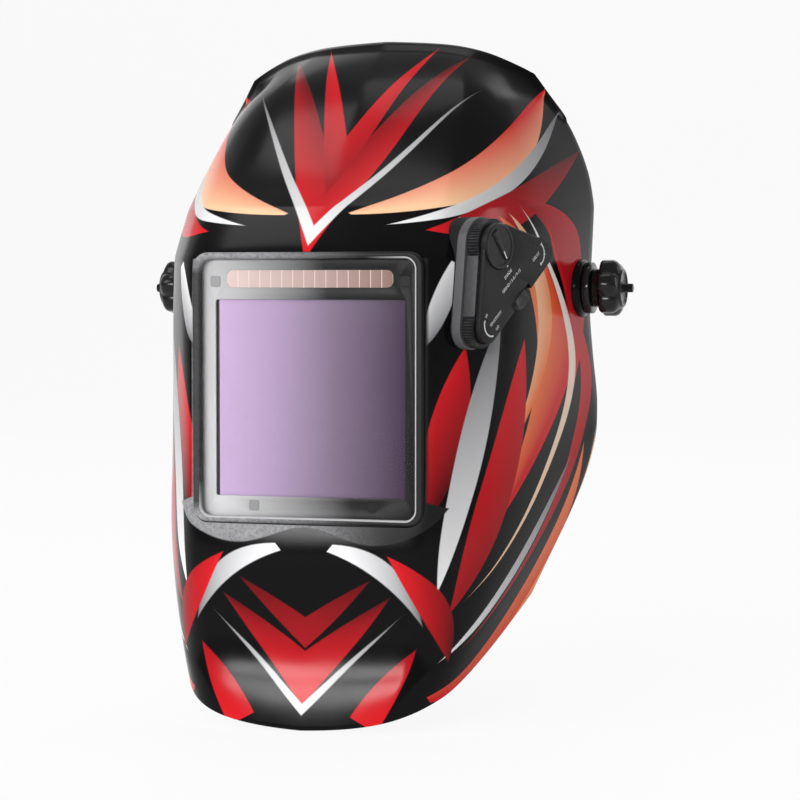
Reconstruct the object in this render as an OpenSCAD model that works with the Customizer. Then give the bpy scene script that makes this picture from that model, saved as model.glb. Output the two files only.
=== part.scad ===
// Auto-darkening welding helmet: moulded shell with a large window, a filter cartridge,
// a control unit on the wearer's left side, and a ratchet headgear inside.
// Frame: millimetres, +Z up, the front faces -Y, the wearer's left is +X.
// The origin is the middle of the axis through the two side pivots.

/* [Shell] */
// Half of the shell's width at the side pivots
shell_half_w = 105; // [102:1:110]
// Height of the crown's rim above the pivots
crown_h = 128; // [124:1:136]
// Depth of the chin's rim below the pivots
chin_drop = 211; // [204:1:220]
// Distance from the pivots forward to the flat front
face_reach = 132; // [130:1:138]
// Distance from the pivots back to the rear rim beside the ears
ear_back = 16; // [14:1:20]
// Wall of the shell
shell_t = 2.6; // [2.2:0.1:3.2]

/* [Window] */
// Width of the visible opening
view_w = 108; // [104:1:110]
// Height of the visible opening
view_h = 124; // [118:1:126]
// Depth of the opening's middle below the pivots
view_drop = 48; // [46:1:52]
// Face width of the window frame at its two sides
bezel_side = 4.2; // [3.6:0.1:5]
// Face width of the window frame above and below
bezel_end = 3.2; // [3:0.1:4]
// Thickness of the window frame's front lip
bezel_lip = 3; // [2.5:0.1:3.5]
// Thickness of each clear cover lens
lens_t = 1; // [0.8:0.1:1.2]
// Thickness of the lens gasket
gasket_t = 0.7; // [0.5:0.1:0.8]

/* [Filter cartridge] */
// How far the cartridge is wider than the opening
filter_extra_w = 6; // [5.6:0.1:6.2]
// How far the cartridge is taller than the opening
filter_extra_h = 5; // [4.5:0.1:5.4]
// Thickness of the front half of the case
front_case_t = 4.5; // [4.2:0.1:5]
// Thickness of the rear half of the case
back_case_t = 4.5; // [4.2:0.1:5]
// How much narrower the glass that shows is than the opening
glass_less_w = 12; // [10:1:18]
// How much shorter the glass that shows is than the opening
glass_less_h = 29; // [27:1:34]
// Distance of the glass's middle below the opening's middle
glass_shift = 5; // [4:0.5:6]
// Distance from each side of the opening in to the solar panel
solar_side = 12; // [11:1:16]
// Height of the solar panel
solar_h = 8.4; // [7:0.1:9]
// Diameter of each coin cell
cell_d = 16; // [14:0.5:16]
// Thickness of each coin cell
cell_t = 3.2; // [2.5:0.1:3.3]
// Diameter of the test button
button_d = 6; // [5:0.5:7]
// Travel of the test button
button_travel = 1; // [0.6:0.1:1.2]
// Wall of the holder around the cartridge
holder_t = 2; // [1.6:0.1:2.1]
// Wire diameter of the bail that holds the cartridge
bail_d = 2.2; // [1.8:0.1:2.4]

/* [Control unit] */
// Radius of the shade wheel
shade_r = 13.2; // [12:0.1:13.4]
// Radius of the sensitivity wheel
sense_r = 9.2; // [8:0.1:9.4]
// Radius of the delay wheel
delay_r = 7.8; // [7:0.1:8]
// Height of the three wheels
wheel_h = 6.4; // [5:0.1:7]
// Thickness of the unit's cover
unit_cover_t = 2.6; // [2:0.1:3]
// Travel of the mode slider to each side
slider_travel = 4; // [3:0.5:4.5]

/* [Pivots] */
// Diameter of the pivot bolt's bearing shoulder
shoulder_d = 8; // [7:0.5:9]
// Diameter of the pivot bolt's thread
stud_d = 4.5; // [4:0.1:5]
// Diameter across the tension knob's lobes
knob_d = 30; // [27:1:34]
// Lobes around the tension knob
knob_lobes = 6; // [5:1:7]
// Thickness of the tension knob's grip
knob_t = 11.4; // [9:0.1:14]
// Radius at which the stop pin stands from the pivot
stop_r = 21; // [20:0.5:22]
// Reach adjustment to each side of the middle
reach_travel = 10; // [6:1:12]

/* [Headgear] */
// Half of the headband's inner width
band_half_w = 80; // [76:1:81]
// Distance from the shell's flat front back to the headband's forehead
band_to_front = 46; // [42:1:52]
// Wall of the headband
band_t = 1.8; // [1.4:0.1:2.2]
// Height of the headband at the forehead
band_h = 34; // [28:1:38]
// Thickness of the forehead pad
pad_t = 6; // [4:0.5:9]
// How far the crown straps lie below the shell's crown rim
strap_drop = 48; // [44:1:54]
// Width of the crown straps
strap_w = 20; // [16:1:24]
// Diameter of the ratchet knob
ratchet_d = 44; // [38:1:48]
// Pitch radius of the ratchet pinion
pinion_r = 6; // [5:0.5:6.5]

/* [Hidden] */
$fn = 48;

fit = 0.15;        // clearance of a piece that is dropped into its seat
run = 0.05;        // radial clearance of a shaft that turns in its bore
face_gap = 0.1;    // clearance between stacked faces
soft_gap = 0.3;    // clearance of a soft piece from its neighbour

// ---- The shell's surface: ribs of five control points, from the middle of the front to the rear rim ----
front_y = -face_reach;
top_z = view_h / 2 - view_drop;
low_z = -view_h / 2 - view_drop;
knee_x = view_w / 2 + 2;
corner_x = view_w / 2 + 12;
sw = shell_half_w;
cz = -chin_drop;
ribs = [
  // chin, from the rim up to the jaw
  [[0, front_y - 10, cz], [26, front_y - 10, cz + 1], [56, front_y - 4, cz + 9],
    [sw - 31, front_y + 28, cz + 23], [sw - 13, ear_back - 72, cz + 59]],
  [[0, front_y - 8, cz + 13], [28, front_y - 8, cz + 14], [60, front_y - 3, cz + 21],
    [sw - 26, front_y + 35, cz + 37], [sw - 8, ear_back - 58, cz + 75]],
  [[0, front_y - 3, cz + 33], [34, front_y - 3, cz + 33], [65, front_y + 2, cz + 35],
    [sw - 18, front_y + 48, cz + 57], [sw - 1, ear_back - 38, cz + 97]],
  [[0, front_y - 2, cz + 53], [38, front_y - 2, cz + 53], [68, front_y + 4, cz + 55],
    [sw - 13, front_y + 54, cz + 73], [sw + 4, ear_back - 22, cz + 117]],
  // apron under the window
  [[0, front_y - 6, low_z - 22], [44, front_y - 6, low_z - 22], [68, front_y + 2, low_z - 21],
    [sw - 10, front_y + 56, low_z - 8], [sw + 6, ear_back - 10, low_z + 34]],
  [[0, front_y - 4, low_z - 4], [knee_x - 4, front_y - 4, low_z - 4], [corner_x + 1, front_y + 4, low_z - 3],
    [sw - 9, front_y + 56, low_z + 10], [sw + 5, ear_back - 4, low_z + 46]],
  // flat front around the window
  [[0, front_y, low_z + 14], [knee_x, front_y, low_z + 14], [corner_x, front_y + 6, low_z + 15],
    [sw - 9, front_y + 56, low_z + 28], [sw + 4, ear_back, low_z + 56]],
  [[0, front_y, -view_drop - 12], [knee_x, front_y, -view_drop - 12], [corner_x, front_y + 6, -view_drop - 12],
    [sw - 9, front_y + 58, -view_drop - 2], [sw + 2, ear_back - 2, -view_drop + 14]],
  [[0, front_y, top_z - 34], [knee_x, front_y, top_z - 34], [corner_x, front_y + 6, top_z - 34],
    [sw - 8, front_y + 60, top_z - 28], [sw, ear_back - 2, top_z - 22]],
  // brow lip and the crease above it
  [[0, front_y - 2, top_z - 2], [knee_x - 2, front_y, top_z - 2], [corner_x + 1, front_y + 8, top_z - 2],
    [sw - 8, front_y + 64, top_z], [sw + 1, ear_back - 1, top_z]],
  [[0, front_y - 2, top_z + 2], [knee_x - 3, front_y, top_z + 2], [corner_x + 1, front_y + 9, top_z + 2],
    [sw - 8, front_y + 66, top_z + 4], [sw + 1, ear_back, top_z + 4]],
  [[0, front_y + 19, top_z + 25], [knee_x - 4, front_y + 20, top_z + 24], [corner_x + 3, front_y + 30, top_z + 23],
    [sw - 9, front_y + 80, top_z + 24], [sw + 2, ear_back, top_z + 26]],
  [[0, front_y + 24, top_z + 28], [knee_x - 5, front_y + 25, top_z + 28], [corner_x + 3, front_y + 34, top_z + 27],
    [sw - 10, front_y + 82, top_z + 28], [sw + 2, ear_back, top_z + 30]],
  // forehead, dome and crown
  [[0, front_y + 48, crown_h - 66], [48, front_y + 50, crown_h - 66], [68, front_y + 60, crown_h - 67],
    [sw - 15, front_y + 94, crown_h - 66], [sw - 1, ear_back, crown_h - 66]],
  [[0, front_y + 84, crown_h - 30], [42, front_y + 86, crown_h - 30], [64, front_y + 92, crown_h - 34],
    [sw - 25, front_y + 112, crown_h - 40], [sw - 11, ear_back - 2, crown_h - 42]],
  [[0, ear_back - 38, crown_h - 11], [34, ear_back - 36, crown_h - 11], [54, ear_back - 32, crown_h - 15],
    [sw - 34, ear_back - 20, crown_h - 23], [sw - 22, ear_back - 6, crown_h - 27]],
  [[0, ear_back - 20, crown_h], [28, ear_back - 19, crown_h - 1], [50, ear_back - 17, crown_h - 5],
    [sw - 38, ear_back - 13, crown_h - 12], [sw - 28, ear_back - 9, crown_h - 17]]];

// Quadratic spline through a row of control points, clamped at both ends
function span_point(p, s, u, last) = let(
    a = s == 0 ? p[0] : (p[s] + p[s + 1]) / 2,
    c = s == last ? p[s + 2] : (p[s + 1] + p[s + 2]) / 2)
  (1 - u) * (1 - u) * a + 2 * u * (1 - u) * p[s + 1] + u * u * c;
function spline(p, t) = let(n = len(p) - 2, x = t * n, s = min(floor(x), n - 1))
  span_point(p, s, x - s, n - 1);
// Rib at height share v, and the surface point at v and at share u from the middle to the rim
function rib_at(v) = [for (k = [0:4]) spline([for (r = ribs) r[k]], v)];
function shell_at(v, u) = spline(rib_at(v), u);

function mirrored(p) = [-p[0], p[1], p[2]];
function unit_vector(v) = v / norm(v);

// Closed skin between two grids of points of the same size
function grid_cells(rows, cols, start, flip) = [
  for (j = [0:rows - 1], i = [0:cols - 1])
    let(a = start + j * (cols + 1) + i, b = a + 1, c = b + cols + 1, d = a + cols + 1)
      each flip ? [[a, b, c], [a, c, d]] : [[a, c, b], [a, d, c]]];
function seam(first, step, count, shift, flip) = [
  for (k = [0:count - 1])
    let(a = first + k * step, b = a + step)
      each flip ? [[a, b, b + shift], [a, b + shift, a + shift]]
                : [[a, b + shift, b], [a, a + shift, b + shift]]];
module skin_between(outer, inner) {
  rows = len(outer) - 1;
  cols = len(outer[0]) - 1;
  size = (rows + 1) * (cols + 1);
  polyhedron(
    points = concat([for (r = outer) each r], [for (r = inner) each r]),
    faces = concat(
      grid_cells(rows, cols, 0, false),
      grid_cells(rows, cols, size, true),
      seam(0, 1, cols, size, true),
      seam(rows * (cols + 1), 1, cols, size, false),
      seam(0, cols + 1, rows, size, false),
      seam(cols, cols + 1, rows, size, true)));
}

// Solid swept through rings of points; each ring runs the same way round
module sweep(rings) {
  n = len(rings);
  m = len(rings[0]);
  polyhedron(
    points = [for (r = rings) each r],
    faces = concat(
      [[for (i = [m - 1:-1:0]) i]],
      [for (k = [0:n - 2], i = [0:m - 1])
        let(a = k * m + i, b = k * m + (i + 1) % m) each [[a, b, b + m], [a, b + m, a + m]]],
      [[for (i = [0:m - 1]) (n - 1) * m + i]]));
}

// ---- 2D and placing helpers ----
module rounded(w, h, r) {
  square([w - 2 * r, h], center = true);
  square([w, h - 2 * r], center = true);
  for (x = [-1, 1], z = [-1, 1]) translate([x * (w / 2 - r), z * (h / 2 - r)]) circle(r);
}
// Plate that stands across Y, from y0 back by t, centred at height z
module plate(y0, t, w, h, r, z) {
  translate([0, y0 + t, z]) rotate([90, 0, 0]) linear_extrude(t) rounded(w, h, r);
}
// Children are drawn with their own Z along the pivot axis, outwards from distance x
module on_side(s, x) {
  mirror([s < 0 ? 1 : 0, 0, 0]) translate([x, 0, 0]) rotate([0, 90, 0]) children();
}
module ring(r_out, r_in, h) {
  difference() {
    cylinder(r = r_out, h = h);
    translate([0, 0, -1]) cylinder(r = r_in, h = h + 2);
  }
}
// Children are drawn with their own Z pointing back along +Y
module facing_back(x, y, z) {
  translate([x, y, z]) rotate([-90, 0, 0]) children();
}

// ---- Pivot stack, from the shell's boss inwards and outwards ----
boss_r = 15;
boss_out = shell_half_w + 1.6;
boss_in = shell_half_w - 6;
bush_r = 6;
bush_flange_r = 10;
bush_flange_t = 1.4;
washer_r = 13;
washer_t = 2;
carriage_r = stop_r + 3;
carriage_t = 4;
arm_t = 3;
slot_half = 6;
foot_t = 2.5;
bush_flange_x = boss_in - face_gap - bush_flange_t;
washer_x = bush_flange_x - face_gap - washer_t;
carriage_x = washer_x - face_gap - carriage_t;
arm_x = carriage_x - face_gap - arm_t;
foot_x = arm_x - face_gap - foot_t;
bolt_head_t = 2.5;
bolt_head_w = 10;
stop_pin_d = 5;
stop_t = 2.5;
stop_pin_end = 103.1;
stop_pin_start = washer_x + 0.3;
stop_w = 6;
knob_washer_r = 13.2;
knob_washer_t = 4;
knob_x = boss_out + face_gap + knob_washer_t + face_gap;
knob_neck_h = 4.4;
knob_end = knob_x + knob_neck_h + knob_t;
stud_end = knob_end + 4.6;
boss_taper = 1.2;

// ---- Window and filter stack, from the front back ----
bezel_y = front_y - 1.2;
rebate = 2.2;
lens_seat_y = bezel_y + bezel_lip;
lens_y = lens_seat_y + gasket_t + run;
bezel_depth = bezel_lip + gasket_t + lens_t + 0.3;
filter_y = bezel_y + bezel_depth + 0.2;
glass_w = view_w - glass_less_w;
glass_h = view_h - glass_less_h;
solar_w = view_w - 2 * solar_side;
filter_w = view_w + filter_extra_w;
filter_h = view_h + filter_extra_h;
back_case_y = filter_y + front_case_t;
filter_back_y = back_case_y + back_case_t;
holder_y = filter_y + 6.6;
filter_corner = 6.5;
holder_depth = filter_back_y - holder_y + 5.5;
glass_z = -view_drop - glass_shift;
glass_rim = 2;
glass_lip = 1.5;
glass_t = 1.1;
stack_t = 3;
glass_y = filter_y + glass_lip + run;
stack_y = glass_y + glass_t + run;
solar_z = top_z - 9.6;
sensor_x = view_w / 2 - 6;
sensor_z = top_z - 10.8;
sensor_size = 5;
low_sensor_z = low_z + 5;
low_sensor_right = 25.6 - view_w / 2;
low_sensor_left = view_w / 2 - 22.5;
sensor_t = 1;
cell_x = view_w / 2 - 13;
cell_z = top_z - 7.7;
cap_flange_r = cell_d / 2 + 1.2;
cap_flange_t = 0.8;
cap_t = 1.1;
button_x = view_w / 2 - 16;
button_z = low_z + 3.2;
inner_lens_w = glass_w + 8;
inner_lens_h = glass_h + 5;
rail_w = 4.2;
rail_h = 2.2;
rail_inner_x = inner_lens_w / 2 + 0.2;
bail_y = filter_back_y + rail_h + 0.1 + bail_d / 2;
bail_x = rail_inner_x - 0.7;
bail_top_z = top_z - 3;
bail_low_z = low_z - 0.5;
holder_w = filter_w + 2 * soft_gap + 2 * holder_t;
holder_h = filter_h + 2 * soft_gap + 2 * holder_t;

// ---- Control unit: its own frame lies on the side wall, X back, Y up, Z outwards ----
unit_v = 0.54;
seat_front = shell_at(unit_v, 0.56);
seat_rear = shell_at(unit_v, 0.84);
seat_mid = shell_at(unit_v, 0.7);
unit_yaw = atan2(seat_rear[0] - seat_front[0], seat_rear[1] - seat_front[1]);
unit_shade = [-15, 20];
unit_sense = [-23.5, -19.5];
unit_delay = [24, 17];
unit_corners = [[unit_shade, 14], [unit_delay, 8.5], [unit_sense, 10]];
base_back = -10.5;
base_top = 0.5;
base_wall = 2;
wheel_bottom = base_top + 0.3;
cover_bottom = wheel_bottom + wheel_h + 0.3;
cover_top = cover_bottom + unit_cover_t;
housing_inset = 1.6;
cover_inset = 3;
wheel_gap = 0.6;
dial_r = 11;
dial_rise = 1;
pot_r = 5;
pot_shaft_r = 2.5;
board_z = -6;
board_t = 1.4;
pot_h = 4;
plate_t = 2.4;
screw_r = 1.25;
screw_head_r = 2.5;
screw_head_t = 1.5;
unit_screws = [[3, 24.5], [-21, -3], [7, 9]];
slider_at = [4.5, -5.4];
slider_angle = 37.5;
slider_l = 9;
slider_w = 6;
slider_slot_l = slider_l + 2 * slider_travel + 1;
slider_bottom = cover_bottom - 4;

module unit_frame() {
  translate([seat_mid[0], seat_mid[1], 0]) rotate([90, 0, 90 - unit_yaw]) children();
}
// Outline around the three corner circles, grown outwards by d
function corner_arc(c, r, from, to) = [for (k = [0:8]) let(a = from + (to - from) * k / 8)
  [c[0] + r * cos(a), c[1] + r * sin(a)]];
function edge_normal(p, q) = let(d = q[0] - p[0], l = norm(d), g = (p[1] - q[1]) / l)
  atan2(d[1], d[0]) + acos(g);
function outline_points(c, d) = [for (k = [0:2])
  let(prev = c[(k + 2) % 3], here = c[k], next = c[(k + 1) % 3],
    a = edge_normal(prev, here), b = edge_normal(here, next), e = b > a ? b - 360 : b)
  each corner_arc(here[0], here[1] + d, a, e)];
module unit_outline(d) {
  polygon(outline_points(unit_corners, d));
}
module unit_slab(d, from, to) {
  translate([0, 0, from]) linear_extrude(to - from) unit_outline(d);
}
module at_screws() {
  for (p = unit_screws) translate([p[0], p[1], 0]) children();
}
module at_shafts(from, r, to) {
  for (p = [unit_shade, unit_sense, unit_delay]) translate([p[0], p[1], from]) cylinder(r = r, h = to - from);
}

// ---- Headband: an oval, pointed at the forehead and flatter at the nape ----
band_y = 12;
band_half_l = face_reach - band_to_front + band_y;
strap_h = crown_h - strap_drop;
band_z = -6;
band_tilt = 22;
nape_power = 0.7;
band_end = 122;
rear_start = 104;
strap_gap = 0.4;
strap_t = 1.6;
function signed_power(x, p) = sign(x) * pow(abs(x), p);
function oval(a, off) = let(p = abs(a) > 90 ? nape_power : 1)
  [(band_half_w + off) * signed_power(sin(a), p), band_y - (band_half_l + off) * signed_power(cos(a), p)];
function oval_z(a) = band_z + band_tilt * cos(a);
function oval_ring(a, off, t, half) = let(i = oval(a, off), o = oval(a, off + t), z = oval_z(a))
  [[i[0], i[1], z - half], [o[0], o[1], z - half], [o[0], o[1], z + half], [i[0], i[1], z + half]];
function band_half(a) = band_h / 2 - 5 + 5 * pow(max(cos(a), 0), 2);
module oval_strip(from, to, steps, off, t, grow) {
  sweep([for (k = [0:steps]) let(a = from + (to - from) * k / steps)
    oval_ring(a, off, t, band_half(a) + grow)]);
}
rear_y = band_y + band_half_l;
nape_z = oval_z(180);
ratchet_w = 64;
ratchet_h = 36;
cover_y = rear_y - 3;
ratchet_cover_t = 2;
housing_y = cover_y + ratchet_cover_t;
housing_depth = 12;
housing_wall = 2;
rack_y = rear_y + strap_gap + 2 * strap_t + 1.2;
rack_t = 2;
rack_l = 30;
rack_h = 5;
tooth = 1.9;
tooth_w = 1;
pinion_teeth = 12;
tooth_pitch = 2 * PI * pinion_r / pinion_teeth;
pinion_shaft_r = 4;
rear_pad_t = 8;
foot_r = 4.5;
foot_y = [-30, 27];
arm_front = -40;
arm_back = 37;
arm_h = 30;

// ================= Shell and window =================
shell_cols = 15;
shell_rows = 30;
module shell_skin() {
  half = [for (j = [0:shell_rows]) let(r = rib_at(j / shell_rows)) [for (i = [0:shell_cols]) spline(r, i / shell_cols)]];
  last = 2 * shell_cols;
  outer = [for (r = half) [for (i = [shell_cols:-1:1]) mirrored(r[i]), for (i = [0:shell_cols]) r[i]]];
  inner = [for (j = [0:shell_rows]) [for (i = [0:last])
    let(across = outer[j][min(i + 1, last)] - outer[j][max(i - 1, 0)],
      along = outer[min(j + 1, shell_rows)][i] - outer[max(j - 1, 0)][i])
    outer[j][i] - shell_t * unit_vector(cross(across, along))]];
  skin_between(outer, inner);
}
module shell() {
  color([0.1, 0.1, 0.11]) difference() {
    union() {
      shell_skin();
      for (s = [-1, 1]) on_side(s, boss_in) {
        cylinder(r = boss_r, h = boss_out - boss_in - boss_taper);
        cylinder(r = boss_r - boss_taper, h = boss_out - boss_in);
      }
    }
    plate(front_y - 20, 40, view_w + 2 * (bezel_side + fit), view_h + 2 * (bezel_end + fit), 8, -view_drop);
    for (s = [-1, 1]) on_side(s, boss_in - 10) cylinder(r = bush_r + run, h = boss_out - boss_in + 20);
    for (s = [-1, 1]) on_side(s, boss_in - 1) translate([stop_r, 0, 0])
      cylinder(r = stop_pin_d / 2 + run, h = stop_pin_end + run - boss_in + 1);
    unit_frame() unit_slab(fit, base_back - 6, base_top + 6);
  }
}
module window_bezel() {
  color([0.13, 0.13, 0.14]) difference() {
    plate(bezel_y, bezel_depth, view_w + 2 * bezel_side, view_h + 2 * bezel_end, 7.6, -view_drop);
    plate(bezel_y - 1, bezel_depth + 2, view_w, view_h, 5, -view_drop);
    plate(lens_seat_y, bezel_depth, view_w + 2 * rebate, view_h + 2 * rebate, 5.6, -view_drop);
  }
}
module lens_gasket() {
  color([0.2, 0.2, 0.2]) difference() {
    plate(lens_seat_y + run / 2, gasket_t, view_w + 2 * rebate - 0.6, view_h + 2 * rebate - 0.6, 5.3, -view_drop);
    plate(lens_seat_y - 1, gasket_t + 2, view_w + 1, view_h + 1, 4.6, -view_drop);
  }
}
module cover_lens() {
  color([0.85, 0.9, 0.95, 0.3])
    plate(lens_y, lens_t, view_w + 2 * rebate - 0.4, view_h + 2 * rebate - 0.4, 5.4, -view_drop);
}

// ================= Filter cartridge =================
module filter_holder() {
  color([0.12, 0.12, 0.13]) difference() {
    plate(holder_y, holder_depth, holder_w, holder_h, filter_corner + holder_t, -view_drop);
    plate(holder_y - 1, holder_depth + 2, filter_w + 2 * soft_gap, filter_h + 2 * soft_gap, filter_corner, -view_drop);
    translate([-holder_w, bail_y, bail_top_z]) rotate([0, 90, 0]) cylinder(r = bail_d / 2 + run, h = 2 * holder_w);
  }
}
module filter_front_case() {
  color([0.45, 0.46, 0.48]) difference() {
    plate(filter_y, front_case_t, filter_w, filter_h, filter_corner, -view_drop);
    plate(filter_y - 1, front_case_t + 2, glass_w, glass_h, 1, glass_z);
    plate(filter_y + glass_lip, front_case_t, glass_w + 2 * glass_rim + fit, glass_h + 2 * glass_rim + fit, 1, glass_z);
    plate(filter_y - 1, 1 + sensor_t + run, solar_w + fit, solar_h + fit, 3, solar_z);
    for (x = [-1, 1]) translate([x * sensor_x, 0, 0])
      plate(filter_y - 1, 1 + sensor_t + run, sensor_size + fit, sensor_size + fit, 1, sensor_z);
    translate([low_sensor_right, 0, 0]) plate(filter_y - 1, 1 + sensor_t + run, sensor_size + fit, sensor_size + fit, 1, low_sensor_z);
    facing_back(low_sensor_left, filter_y - 1, low_sensor_z) cylinder(r = sensor_size / 2 + fit / 2, h = 1 + sensor_t + run);
  }
}
module filter_back_case() {
  color([0.16, 0.16, 0.17]) {
    difference() {
      plate(back_case_y + run, back_case_t - run, filter_w, filter_h, filter_corner, -view_drop);
      plate(back_case_y - 1, back_case_t + 2, glass_w, glass_h, 1, glass_z);
      plate(back_case_y - 1, stack_y + stack_t + run - back_case_y + 1,
        glass_w + 2 * glass_rim + fit, glass_h + 2 * glass_rim + fit, 1, glass_z);
      plate(back_case_y - 1, 1 + board_pocket, board_w + fit, board_h + fit, 1, cell_z);
      for (x = [-1, 1]) facing_back(x * cell_x, back_case_y - 1, cell_z) cylinder(r = cell_d / 2 + run, h = back_case_t + 2);
      for (x = [-1, 1]) facing_back(x * cell_x, filter_back_y - cap_flange_t, cell_z) cylinder(r = cap_flange_r + run, h = 2);
      facing_back(button_x, back_case_y + 1.5, button_z) cylinder(r = button_d / 2 + run, h = back_case_t);
    }
    for (x = [-1, 1]) translate([x * (rail_inner_x + rail_w / 4), 0, glass_z]) {
      translate([0, filter_back_y + rail_h / 2, 0]) cube([rail_w / 2, rail_h, inner_lens_h], center = true);
      translate([-x * rail_w / 4, filter_back_y + rail_h - 0.4, 0]) cube([rail_w, 0.8, inner_lens_h], center = true);
    }
  }
}
board_w = 2 * cell_x - cell_d - 6;
board_h = 12;
board_t_filter = 1.2;
board_pocket = 2.4;
module filter_glass() {
  color([0.45, 0.3, 0.6, 0.6])
    plate(glass_y, glass_t, glass_w + 2 * glass_rim, glass_h + 2 * glass_rim, 1, glass_z);
}
module shutter_stack() {
  color([0.3, 0.2, 0.45, 0.8])
    plate(stack_y, stack_t, glass_w + 2 * glass_rim, glass_h + 2 * glass_rim, 1, glass_z);
}
module solar_panel() {
  color([0.75, 0.5, 0.42]) plate(filter_y, sensor_t, solar_w, solar_h, 3, solar_z);
}
module light_sensors() {
  color([0.1, 0.1, 0.12]) {
    for (x = [-1, 1]) translate([x * sensor_x, 0, 0]) plate(filter_y, sensor_t, sensor_size, sensor_size, 1, sensor_z);
    translate([low_sensor_right, 0, 0]) plate(filter_y, sensor_t, sensor_size, sensor_size, 1, low_sensor_z);
    facing_back(low_sensor_left, filter_y, low_sensor_z) cylinder(r = sensor_size / 2, h = sensor_t);
  }
}
module filter_board() {
  color([0.1, 0.35, 0.2]) plate(back_case_y + 0.2, board_t_filter, board_w, board_h, 1, cell_z);
}
module coin_cells() {
  color([0.75, 0.75, 0.76]) for (x = [-1, 1])
    facing_back(x * cell_x, filter_back_y - cap_t - 0.05 - cell_t, cell_z) cylinder(r = cell_d / 2 - 0.1, h = cell_t);
}
module battery_cap(s) {
  color([0.2, 0.2, 0.21]) facing_back(s * cell_x, filter_back_y - cap_t, cell_z) difference() {
    union() {
      cylinder(r = cell_d / 2, h = cap_t);
      translate([0, 0, cap_t - cap_flange_t + run]) cylinder(r = cap_flange_r, h = cap_flange_t + 0.4);
    }
    translate([0, 0, cap_t + 0.2]) cube([cell_d - 4, 1.8, 1], center = true);
  }
}
module inner_cover_lens() {
  color([0.85, 0.9, 0.95, 0.3])
    plate(filter_back_y + face_gap, lens_t, inner_lens_w, inner_lens_h, 1.5, glass_z);
}
module filter_bail() {
  color([0.75, 0.76, 0.78]) {
    for (x = [-1, 1]) {
      translate([x * bail_x, bail_y, bail_low_z]) cylinder(d = bail_d, h = bail_top_z - bail_low_z);
      translate([x * bail_x, bail_y, bail_top_z]) sphere(d = bail_d);
      translate([x * bail_x, bail_y, bail_low_z]) sphere(d = bail_d);
      translate([x * bail_x, bail_y, bail_top_z]) rotate([0, x * 90, 0]) cylinder(d = bail_d, h = holder_w / 2 - bail_x);
    }
    translate([-bail_x, bail_y, bail_low_z]) rotate([0, 90, 0]) cylinder(d = bail_d, h = 2 * bail_x);
  }
}
module test_button() {
  color([0.7, 0.1, 0.1]) facing_back(button_x, back_case_y + 1.6 + button_travel, button_z)
    cylinder(d = button_d, h = filter_back_y - back_case_y - 1.6);
}

// ================= Control unit =================
module control_base() {
  color([0.11, 0.11, 0.12]) unit_frame() difference() {
    unit_slab(0, base_back, base_top);
    unit_slab(-base_wall, base_back - 1, base_top - base_wall);
    at_shafts(-5, pot_shaft_r + 0.3, 5);
    at_screws() translate([0, 0, -5]) cylinder(r = screw_r + fit, h = 10);
  }
}
module control_housing() {
  color([0.14, 0.14, 0.15]) unit_frame() difference() {
    unit_slab(-housing_inset, base_top + face_gap / 2, cover_bottom - face_gap / 2);
    translate([unit_shade[0], unit_shade[1], 0]) cylinder(r = shade_r + wheel_gap, h = 30);
    translate([unit_sense[0], unit_sense[1], 0]) cylinder(r = sense_r + wheel_gap, h = 30);
    translate([unit_delay[0], unit_delay[1], 0]) cylinder(r = delay_r + wheel_gap, h = 30);
    at_screws() cylinder(r = screw_r + run, h = 5);
    translate([slider_at[0], slider_at[1], cover_bottom]) rotate(slider_angle)
      cube([slider_slot_l, slider_w + 1, 2 * (cover_bottom - slider_bottom) + 0.6], center = true);
  }
}
module control_cover() {
  color([0.12, 0.12, 0.13]) unit_frame() difference() {
    unit_slab(-cover_inset, cover_bottom, cover_top);
    translate([unit_shade[0], unit_shade[1], 0]) cylinder(r = dial_r + 0.3, h = 30);
    translate([slider_at[0], slider_at[1], cover_bottom]) rotate(slider_angle)
      cube([slider_slot_l, slider_w + 0.6, 20], center = true);
  }
}
module control_board() {
  color([0.1, 0.35, 0.2]) unit_frame() difference() {
    unit_slab(-base_wall - 0.5, board_z, board_z + board_t);
    at_screws() translate([0, 0, -9]) cylinder(r = screw_r + fit, h = 9);
  }
}
module control_pots() {
  color([0.6, 0.6, 0.62]) unit_frame() {
    at_shafts(board_z + board_t, pot_r, board_z + board_t + pot_h - 1);
    at_shafts(board_z + board_t, pot_shaft_r, wheel_bottom + wheel_h - 2.2);
  }
}
module control_back_plate() {
  color([0.13, 0.13, 0.14]) unit_frame() difference() {
    unit_slab(0, base_back - face_gap - plate_t, base_back - face_gap);
    at_screws() translate([0, 0, base_back - 5]) cylinder(r = screw_r + fit, h = 9);
  }
}
module control_screws() {
  color([0.7, 0.7, 0.72]) unit_frame() at_screws() {
    translate([0, 0, base_back - face_gap - plate_t - screw_head_t]) cylinder(r = screw_head_r, h = screw_head_t);
    translate([0, 0, base_back - face_gap - plate_t - 0.5]) cylinder(r = screw_r, h = 4.4 - base_back + plate_t);
  }
}
module wheel(c, r, flutes) {
  translate([c[0], c[1], wheel_bottom]) difference() {
    cylinder(r = r, h = wheel_h);
    for (k = [1:flutes]) rotate(k * 360 / flutes) translate([r, 0, -1]) cylinder(r = 0.5, h = wheel_h + 2, $fn = 16);
    translate([0, 0, -1]) cylinder(r = pot_shaft_r + run, h = wheel_h - 1);
  }
}
module shade_knob() {
  color([0.15, 0.15, 0.16]) unit_frame() {
    wheel(unit_shade, shade_r, 40);
    translate([unit_shade[0], unit_shade[1], wheel_bottom + wheel_h - 0.5]) difference() {
      cylinder(r = dial_r, h = cover_top + dial_rise - wheel_bottom - wheel_h + 0.5);
      translate([dial_r * 0.6, 0, cover_top + dial_rise - wheel_bottom - wheel_h + 0.5]) cube([7, 1.4, 1.2], center = true);
    }
  }
}
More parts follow.
